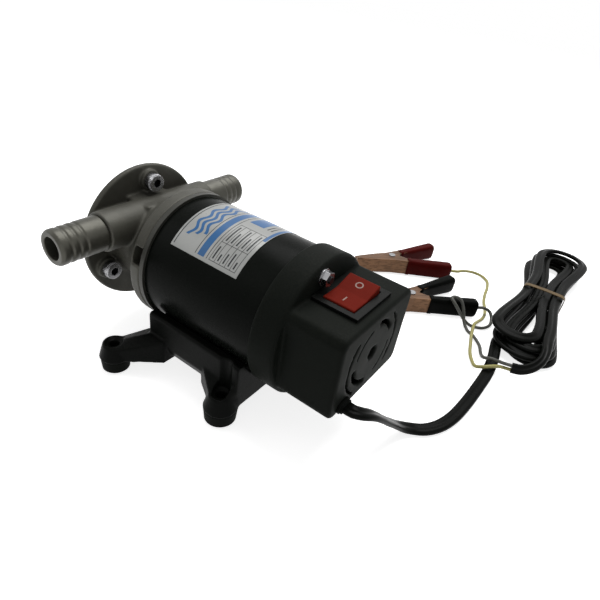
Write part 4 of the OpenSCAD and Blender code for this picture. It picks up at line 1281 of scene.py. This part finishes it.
@dataclass
class PumpHead:
    """Cover, housing, hose tails and the parts that turn in them.

    All sizes are in millimetres.

    Attributes:
        screw_count: number of cover screws.
        screw_radius: radius of the ring that they stand on.
        screw_start: place of the first on that ring, in degrees from +Z.
        head_radius: radius of a screw's head.
        head_from: x of the underside of a head.
        head_height: height of a head.
        socket_radius: distance from the middle of a socket to its corners.
        castings: node, new name, finish and size of the skin's cells for each softened part.
    """

    screw_count: int = 3
    screw_radius: float = 34.2
    screw_start: float = 5.5
    head_radius: float = 5.0
    head_from: float = -34.5
    head_height: float = 5.5
    socket_radius: float = 2.887
    castings: tuple[tuple[str, str, Finish, float], ...] = (
        ("pump_housing", "head_casting", CAST, 0.67), ("pump_cover", "cover_casting", CAST, 0.62),
        ("inlet_tail", "inlet_hose_tail", TURNED, 0.42), ("outlet_tail", "outlet_hose_tail", TURNED, 0.42),
    )

    def screw_angle(self, i: int) -> float:
        """Place of cover screw i on its ring, in degrees."""
        return self.screw_start + i * (360 / self.screw_count)

    def build_knurls(self, shop: Workshop) -> None:
        """Makes the fine ridges round the heads of the cover screws."""
        ridges, ridge_radius, ridge_gap = 36, 0.22, 1.2
        inputs = {"Ridge Radius": ("Float", 0.0003), "Ridge Length": ("Float", 0.004)}
        tree = ring_tree("KnurlRing", ridge_item, inputs)
        middle = self.head_from + self.head_height / 2
        places = [on_clock(self.screw_radius, self.screw_angle(i), middle) for i in range(self.screw_count)]
        made = grow("cover_screw_knurls", places, tree, {
            "Count": ridges, "Ring Radius": self.head_radius * MM, "Ridge Radius": ridge_radius * MM,
            "Ridge Length": (self.head_height - ridge_gap) * MM, "Material": shop.material(BRIGHT),
        })
        hand_over(made, "pump", Slot.STEEL)

    def build_socket_shade(self, shop: Workshop) -> None:
        """Lines the sockets of the cover screws with thin dark cups, which are painted shade deep in each
        socket.
        """
        depth_share, below_rim, play, shade_cup_wall = 0.45, 0.25, 0.02, 0.12
        sides = 6
        floor = self.head_from + self.head_height * depth_share
        rim = self.head_from + self.head_height - below_rim
        outer = self.socket_radius - play
        inner = outer - shade_cup_wall
        rings = ((outer, floor + play), (outer, rim), (inner, rim), (inner, floor + play + shade_cup_wall))
        for i in range(self.screw_count):
            centre = on_clock(self.screw_radius, self.screw_angle(i), 0.0)
            verts: list[Vector] = []
            for radius, x in rings:
                for k in range(sides):
                    q = math.radians(360 / sides * k + self.screw_angle(i))
                    verts.append(centre + to_metres((x, radius * math.sin(q), radius * math.cos(q))))
            # a dark cup standing in for the shade inside the socket: painted shade
            made = piece_from(f"cover_screw_socket_shade_{i}", verts, tube_faces(len(rings), sides), OXIDE_AND_SOCKET_SHADE, shop)
            hand_over(made, "pump", Slot.STEEL)

    def build(self, shop: Workshop) -> None:
        """Makes the castings' skins and dresses what is bolted to them."""
        for node, name, finish, voxel in self.castings:
            hand_over(soften(node, name, finish, shop, voxel), "pump", Slot.CAST, node)
        dress(["cover_screws"], BRIGHT, shop)
        dress(["cover_o_ring", "shaft_seal", "slinger"], RUBBER, shop)
        dress(["star_impeller"], BRASS, shop)
        self.build_knurls(shop)
        self.build_socket_shade(shop)


# --- Motor ---


@dataclass
class Motor:
    """The can with its label, and everything inside it. All sizes are in millimetres.

    Attributes:
        can_radius: radius of the can.
        label_x: where the label begins and ends along the can.
        label_half: how far the label reaches round the can to either side, in degrees.
        ball_count: number of balls in a bearing.
        ball_ring: radius of the ring that they stand on.
        ball_radius: radius of a ball.
        bearings: x of the two bearings.
    """

    can_radius: float = 38.0
    label_x: tuple[float, float] = (18.7, 65.0)
    label_half: float = 50.0
    ball_count: int = 9
    ball_ring: float = 7.5
    ball_radius: float = 2.0
    bearings: tuple[float, float] = (11.5, 89.5)

    def on_can(self, x: float, arc: float, lift: float) -> Vector:
        """Point over the can: x along it, arc from the top towards +Y, lift above the paint."""
        return on_clock(self.can_radius + lift, math.degrees(arc / self.can_radius), x)

    def sheet(
        self, near: Edge, far: Edge, arcs: tuple[float, float], lift: float, thick: float, steps: int,
    ) -> Sheet:
        """Thin closed sheet that follows the can.

        Args:
            near: x of its edge towards the pump head, or a function that gives it by arc.
            far: x of its other edge, or a function that gives it by arc.
            arcs: where it begins and ends round the can, in millimetres from the top.
            lift: height of its underside above the paint, in millimetres.
            thick: its thickness in millimetres.
            steps: number of steps round the can.

        Returns:
            Its corners and faces.
        """
        verts: list[Vector] = []
        for i in range(steps + 1):
            arc = arcs[0] + (arcs[1] - arcs[0]) * i / steps
            a, b = (edge(arc) if callable(edge) else edge for edge in (near, far))
            corners = ((a, lift), (b, lift), (b, lift + thick), (a, lift + thick))
            verts += [self.on_can(x, arc, height) for x, height in corners]
        return verts, tube_faces(steps + 1, 4)

    def stick(self, name: str, sheets: Iterable[Sheet], finish: Finish, shop: Workshop) -> None:
        """Puts sheets of one colour on the can as one piece."""
        verts: list[Vector] = []
        faces: Faces = []
        for corners, sides in sheets:
            faces += [tuple(len(verts) + k for k in side) for side in sides]
            verts += corners
        hand_over(piece_from(name, verts, faces, finish, shop), "pump", Slot.MOTOR)

    def ink(self, near: Edge, far: Edge, start: float, stop: float, steps: int = 40) -> Sheet:
        """Printed area on the label. A straight edge counts from the label's edge at the pump head."""
        lift, thick = 0.12, 0.02
        x = self.label_x[0]
        near, far = (edge if callable(edge) else x + edge for edge in (near, far))
        return self.sheet(near, far, (start, stop), lift, thick, steps)

    def wave(self, middle: float) -> Edge:
        """Wavy edge, whose middle counts from the label's edge at the pump head."""
        height, length = 1.2, 11.0
        return lambda arc: self.label_x[0] + middle + height * math.sin(arc * 2 * math.pi / length)

    def build_label(self, shop: Workshop) -> None:
        """Sticks the label on: silver film, blue waves and stripes, a ruled table, a blue block, no words."""
        x0, x1 = self.label_x
        end = math.radians(self.label_half) * self.can_radius
        row, bottom, top = 3.5, -31.0, -4.0
        self.stick("label_film", [self.sheet(x0, x1, (-end, end), 0.02, 0.1, 90)], LABEL_FILM, shop)
        dark = [self.ink(1.2, 1.8, 1.5 - end, end - 1.5)]
        dark += [self.ink(near, near + 0.4, 2 - end, end - 2) for near in (16.6, 24.4)]
        dark += [self.ink(26.2 + row * k, 26.5 + row * k, bottom, top) for k in range(6)]
        dark += [self.ink(26.2, 44.0, arc, arc + 0.3, 2) for arc in (bottom, -19.5, -4.3)]
        for start, stop, shorter, kinds in ((-29.6, -22.0, 1.8, 3), (-18.0, -6.0, 2.2, 4)):
            dark += [self.ink(27.6 + row * k, 28.5 + row * k, start, stop - shorter * (k * 2 % kinds), 16)
                     for k in range(5)]
        dark += [self.ink(38.6 + 2.4 * k, 39.4 + 2.4 * k, 2.0, 25.0 - 3.5 * k, 30) for k in range(2)]
        self.stick("label_dark_ink", dark, LABEL_DARK, shop)
        blue = [self.ink(self.wave(5.6 + 3.6 * k), self.wave(7.6 + 3.6 * k), -24.0 + 2 * k, 9.0 + 3 * k, 120)
                for k in range(3)]
        blue += [self.ink(18.4, 22.8, 2 - end, end - 2), self.ink(27.0, 36.4, 2.0, 24.0)]
        blue.append(self.ink(x1 - x0 - 2.4, x1 - x0 - 0.4, -8.0, end - 0.6))
        self.stick("label_blue_ink", blue, LABEL_BLUE, shop)

    def build_balls(self, shop: Workshop) -> None:
        """Fills the bearings with balls, which stay with the housing."""
        tree = ring_tree("BallRing", ball_item, {"Ball Radius": ("Float", 0.002)})
        points = [on_clock(0.0, 0.0, x) for x in self.bearings]
        made = grow("bearing_balls", points, tree, {
            "Count": self.ball_count, "Ring Radius": self.ball_ring * MM,
            "Ball Radius": self.ball_radius * MM, "Material": shop.material(BRIGHT),
        })
        hand_over(made, "pump", Slot.STEEL)

    def build(self, shop: Workshop) -> None:
        """Dresses the motor and adds its label."""
        dress(["motor_can"], MOTOR, shop)
        dress(["front_plate", "rear_plate"], PLATE_METAL, shop)
        dress(["field_magnets"], MAGNET, shop)
        dress(["front_bearing", "rear_bearing", "tie_nuts", "brush_springs"], BRIGHT, shop)
        dress(["tie_bolts"], OXIDE_AND_SOCKET_SHADE, shop)
        dress(["motor_shaft", "armature_core"], SHAFT, shop)
        dress(["armature_winding", "commutator"], WOUND_COPPER, shop)
        dress(["brushes"], CARBON, shop)
        dress(["brush_holders"], LAMINATE, shop)
        self.build_label(shop)
        self.build_balls(shop)


# --- End cap, switch and base ---


@dataclass
class EndCap:
    """The moulded cap, its switch and the gland in its face. All sizes are in millimetres.

    Attributes:
        pivot: the rocker's axis.
        tilt: the rocker's slope at rest, in degrees.
        rocker_half: half the rocker's length.
        valley: height of the rocker's top over its axis, in its middle.
        crest: the same at its ends.
        face_x: x of the cap's face.
        vent: middle of the vents, across and above the motor's axis.
        slots: radius, half width and first and last angle of each vent.
    """

    pivot: tuple[float, float, float] = (114.0, 0.0, 79.8)
    tilt: float = 8.0
    rocker_half: float = 12.3
    valley: float = 3.9
    crest: float = 5.5
    face_x: float = 132.0
    vent: tuple[float, float] = (-1.0, 1.5)
    slots: tuple[tuple[float, float, float, float], ...] = (
        (23.0, 0.75, 138.5, 235.5), (23.0, 0.75, -41.5, 49.5), (17.0, 0.6, 107.5, 165.5),
        (17.0, 0.6, -66.5, -4.5),
    )

    def on_rocker(self, x: float, y: float, lift: float) -> Vector:
        """Point on the rocker's top, x and y from its middle, lift above it, in millimetres."""
        crest_in = 0.6  # how far the crest lies in from the rocker's end
        z = self.valley + (self.crest - self.valley) * abs(y) / (self.rocker_half - crest_in) + lift
        c, d = math.cos(math.radians(self.tilt)), math.sin(math.radians(self.tilt))
        return to_metres((self.pivot[0] + x, y * c - z * d, self.pivot[2] + y * d + z * c))

    def build_marks(self, shop: Workshop) -> None:
        """Adds the ring for off and the bar for on, printed on the rocker."""
        under, over = -0.05, 0.06
        outer, inner, middle, steps = 2.1, 1.45, 6.6, 48
        half_wide, near, far = 0.35, -8.4, -4.6
        ring: list[Vector] = []
        for i in range(steps):
            c, d = math.cos(2 * math.pi * i / steps), math.sin(2 * math.pi * i / steps)
            for r, lift in ((inner, under), (outer, under), (outer, over), (inner, over)):
                ring.append(self.on_rocker(r * c, middle + r * d, lift))
        corners = ((-half_wide, near), (half_wide, near), (half_wide, far), (-half_wide, far))
        bar = [self.on_rocker(x, y, lift) for lift in (under, over) for x, y in corners]
        for name, verts, faces in (
            ("off_mark", ring, tube_faces(steps, 4, closed=True)),
            ("on_mark", bar, tube_faces(2, len(corners))),
        ):
            hand_over(piece_from(name, verts, faces, MARKING, shop), "rocker", Slot.ROCKER)

    def cut_slots(self, cap: Piece, shop: Workshop) -> None:
        """Cuts the vent slots cleanly through the skin of the cap's face."""
        steps, inwards, outwards = 24, -3.8, 1.0
        verts: list[Vector] = []
        faces: Faces = []
        for radius, half, start, stop in self.slots:
            faces += tube_faces(steps + 1, 4, first=len(verts))
            low, high = radius - half, radius + half
            for i in range(steps + 1):
                q = math.radians(start + (stop - start) * i / steps)
                for r, x in ((low, inwards), (high, inwards), (high, outwards), (low, outwards)):
                    y, z = self.vent[0] + r * math.cos(q), AXIS_Z + self.vent[1] + r * math.sin(q)
                    verts.append(to_metres((self.face_x + x, y, z)))
        cutter = piece_from("slot_cutter", verts, faces, CAP, shop, None)
        cut = cap.modifiers.new("slots", "BOOLEAN")
        cut.operation, cut.solver, cut.object = "DIFFERENCE", "EXACT", cutter
        apply_modifiers(cap)
        bpy.data.objects.remove(cutter)

    def build(self, shop: Workshop) -> None:
        """Makes the cap's skin and dresses the switch and gland."""
        cap = soften("end_cap", "cap_moulding", CAP, shop, 0.62, 5)
        self.cut_slots(cap, shop)
        hand_over(cap, "pump", Slot.CAP, "end_cap")
        dress(["switch_body"], SWITCH, shop)
        rocker = soften("switch_rocker", "rocker_moulding", ROCKER, shop, 0.3, 4)
        hand_over(rocker, "rocker", Slot.ROCKER, "switch_rocker")
        self.build_marks(shop)
        dress(["cord_gland"], RUBBER, shop)


@dataclass
class Base:
    """The footed casting under the motor."""

    feet: tuple[str, ...] = ("foot_rear_near", "foot_rear_far", "foot_front_near", "foot_front_far")

    def build(self, shop: Workshop) -> None:
        """Makes the base's skin and dresses its pad, screws and feet."""
        casting = soften("base_bracket", "base_casting", BASE, shop, 0.7, 6)
        hand_over(casting, "pump", Slot.BASE, "base_bracket")
        dress(["saddle_pad", *self.feet], RUBBER, shop)
        dress(["base_screws"], BRIGHT, shop)


# --- Floor, world and lamps ---


@dataclass
class Studio:
    """A pale floor, a white surround and soft lamps. All sizes are in metres.

    Attributes:
        floor_half: half the floor's side.
        floor_z: height of the floor, just under the feet.
        floor_glow: light that the floor sends to the camera and to mirrors, besides what it reflects.
        surround: strength of the surround as a light.
        lamps: name, place, target, diameter and power in watts of each lamp.
    """

    floor_half: float = 4.0
    floor_z: float = -0.0003
    floor_glow: float = 0.79
    surround: float = 0.26
    lamps: tuple[tuple[str, Point, Point, float, float], ...] = (
        ("overhead", (-0.1, 0.5, 1.1), (0.05, 0.05, 0.03), 1.1, 15.0),
        ("window", (-0.9, -0.5, 0.8), (0.0, 0.0, 0.05), 0.7, 1.4),
        ("fill", (0.9, -0.8, 0.5), (0.1, 0.05, 0.05), 0.8, 1.0),
    )

    def build_floor(self) -> None:
        """Lays the floor, which shows white to the camera and keeps the shadow."""
        h, z = self.floor_half, self.floor_z
        mesh = bpy.data.meshes.new("floor")
        mesh.from_pydata([(-h, -h, z), (h, -h, z), (h, h, z), (-h, h, z)], [], [(0, 1, 2, 3)])
        floor = in_scene("floor", mesh)
        material = bpy.data.materials.new("floor_paper")
        s = Shade.on(material)
        paper = s.add("ShaderNodeBsdfDiffuse", {"Color": (0.8, 0.8, 0.8, 1.0)})
        glow = s.add("ShaderNodeEmission", {"Color": WHITE, "Strength": s.times(s.seen(), self.floor_glow)})
        both = s.add("ShaderNodeAddShader", {0: paper.outputs[0], 1: glow.outputs[0]})
        s.end("ShaderNodeOutputMaterial", "Surface", both.outputs[0])
        mesh.materials.append(material)

    def build_world(self) -> None:
        """Surrounds the scene with white for the camera and a dimmer light for the rest."""
        world = bpy.data.worlds.new("surround")
        s = Shade.on(world)
        strength = s.plus(self.surround, s.times(s.seen(), 1.0 - self.surround))
        light = s.add("ShaderNodeBackground", {"Color": WHITE, "Strength": strength})
        s.end("ShaderNodeOutputWorld", "Surface", light.outputs[0])
        bpy.context.scene.world = world

    def build_lamps(self) -> None:
        """Hangs the soft lamps, each turned to its target."""
        for name, place, target, size, power in self.lamps:
            data = bpy.data.lights.new(name, "AREA")
            data.shape, data.size, data.energy = "DISK", size, power
            lamp = in_scene(name, data)
            lamp.location = place
            lamp.rotation_euler = (Vector(target) - Vector(place)).to_track_quat("-Z", "Y").to_euler()

    def build(self) -> None:
        """Builds floor, world and lamps, and sets the plain view transform."""
        self.build_floor()
        self.build_world()
        self.build_lamps()
        bpy.context.scene.view_settings.view_transform = "Standard"


def main() -> None:
    """Builds the camera, the clamps, the cords that end in them and the pump, in that order."""
    logging.basicConfig(level=logging.INFO, format="%(name)s: %(message)s")
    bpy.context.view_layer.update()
    shop = Workshop()
    Viewpoint().build()
    clamps = {
        "red": Clamp("red", (60.5, 180.0), 51.5, RED_SLEEVE),
        "black": Clamp("black", (100.0, 138.0), 54.5, BLACK_SLEEVE),
    }
    for clamp in clamps.values():
        clamp.build(shop)
    BatteryLead().build(clamps, shop)
    PumpHead().build(shop)
    Motor().build(shop)
    EndCap().build(shop)
    Base().build(shop)
    Studio().build()


if __name__ == "__main__":
    main()
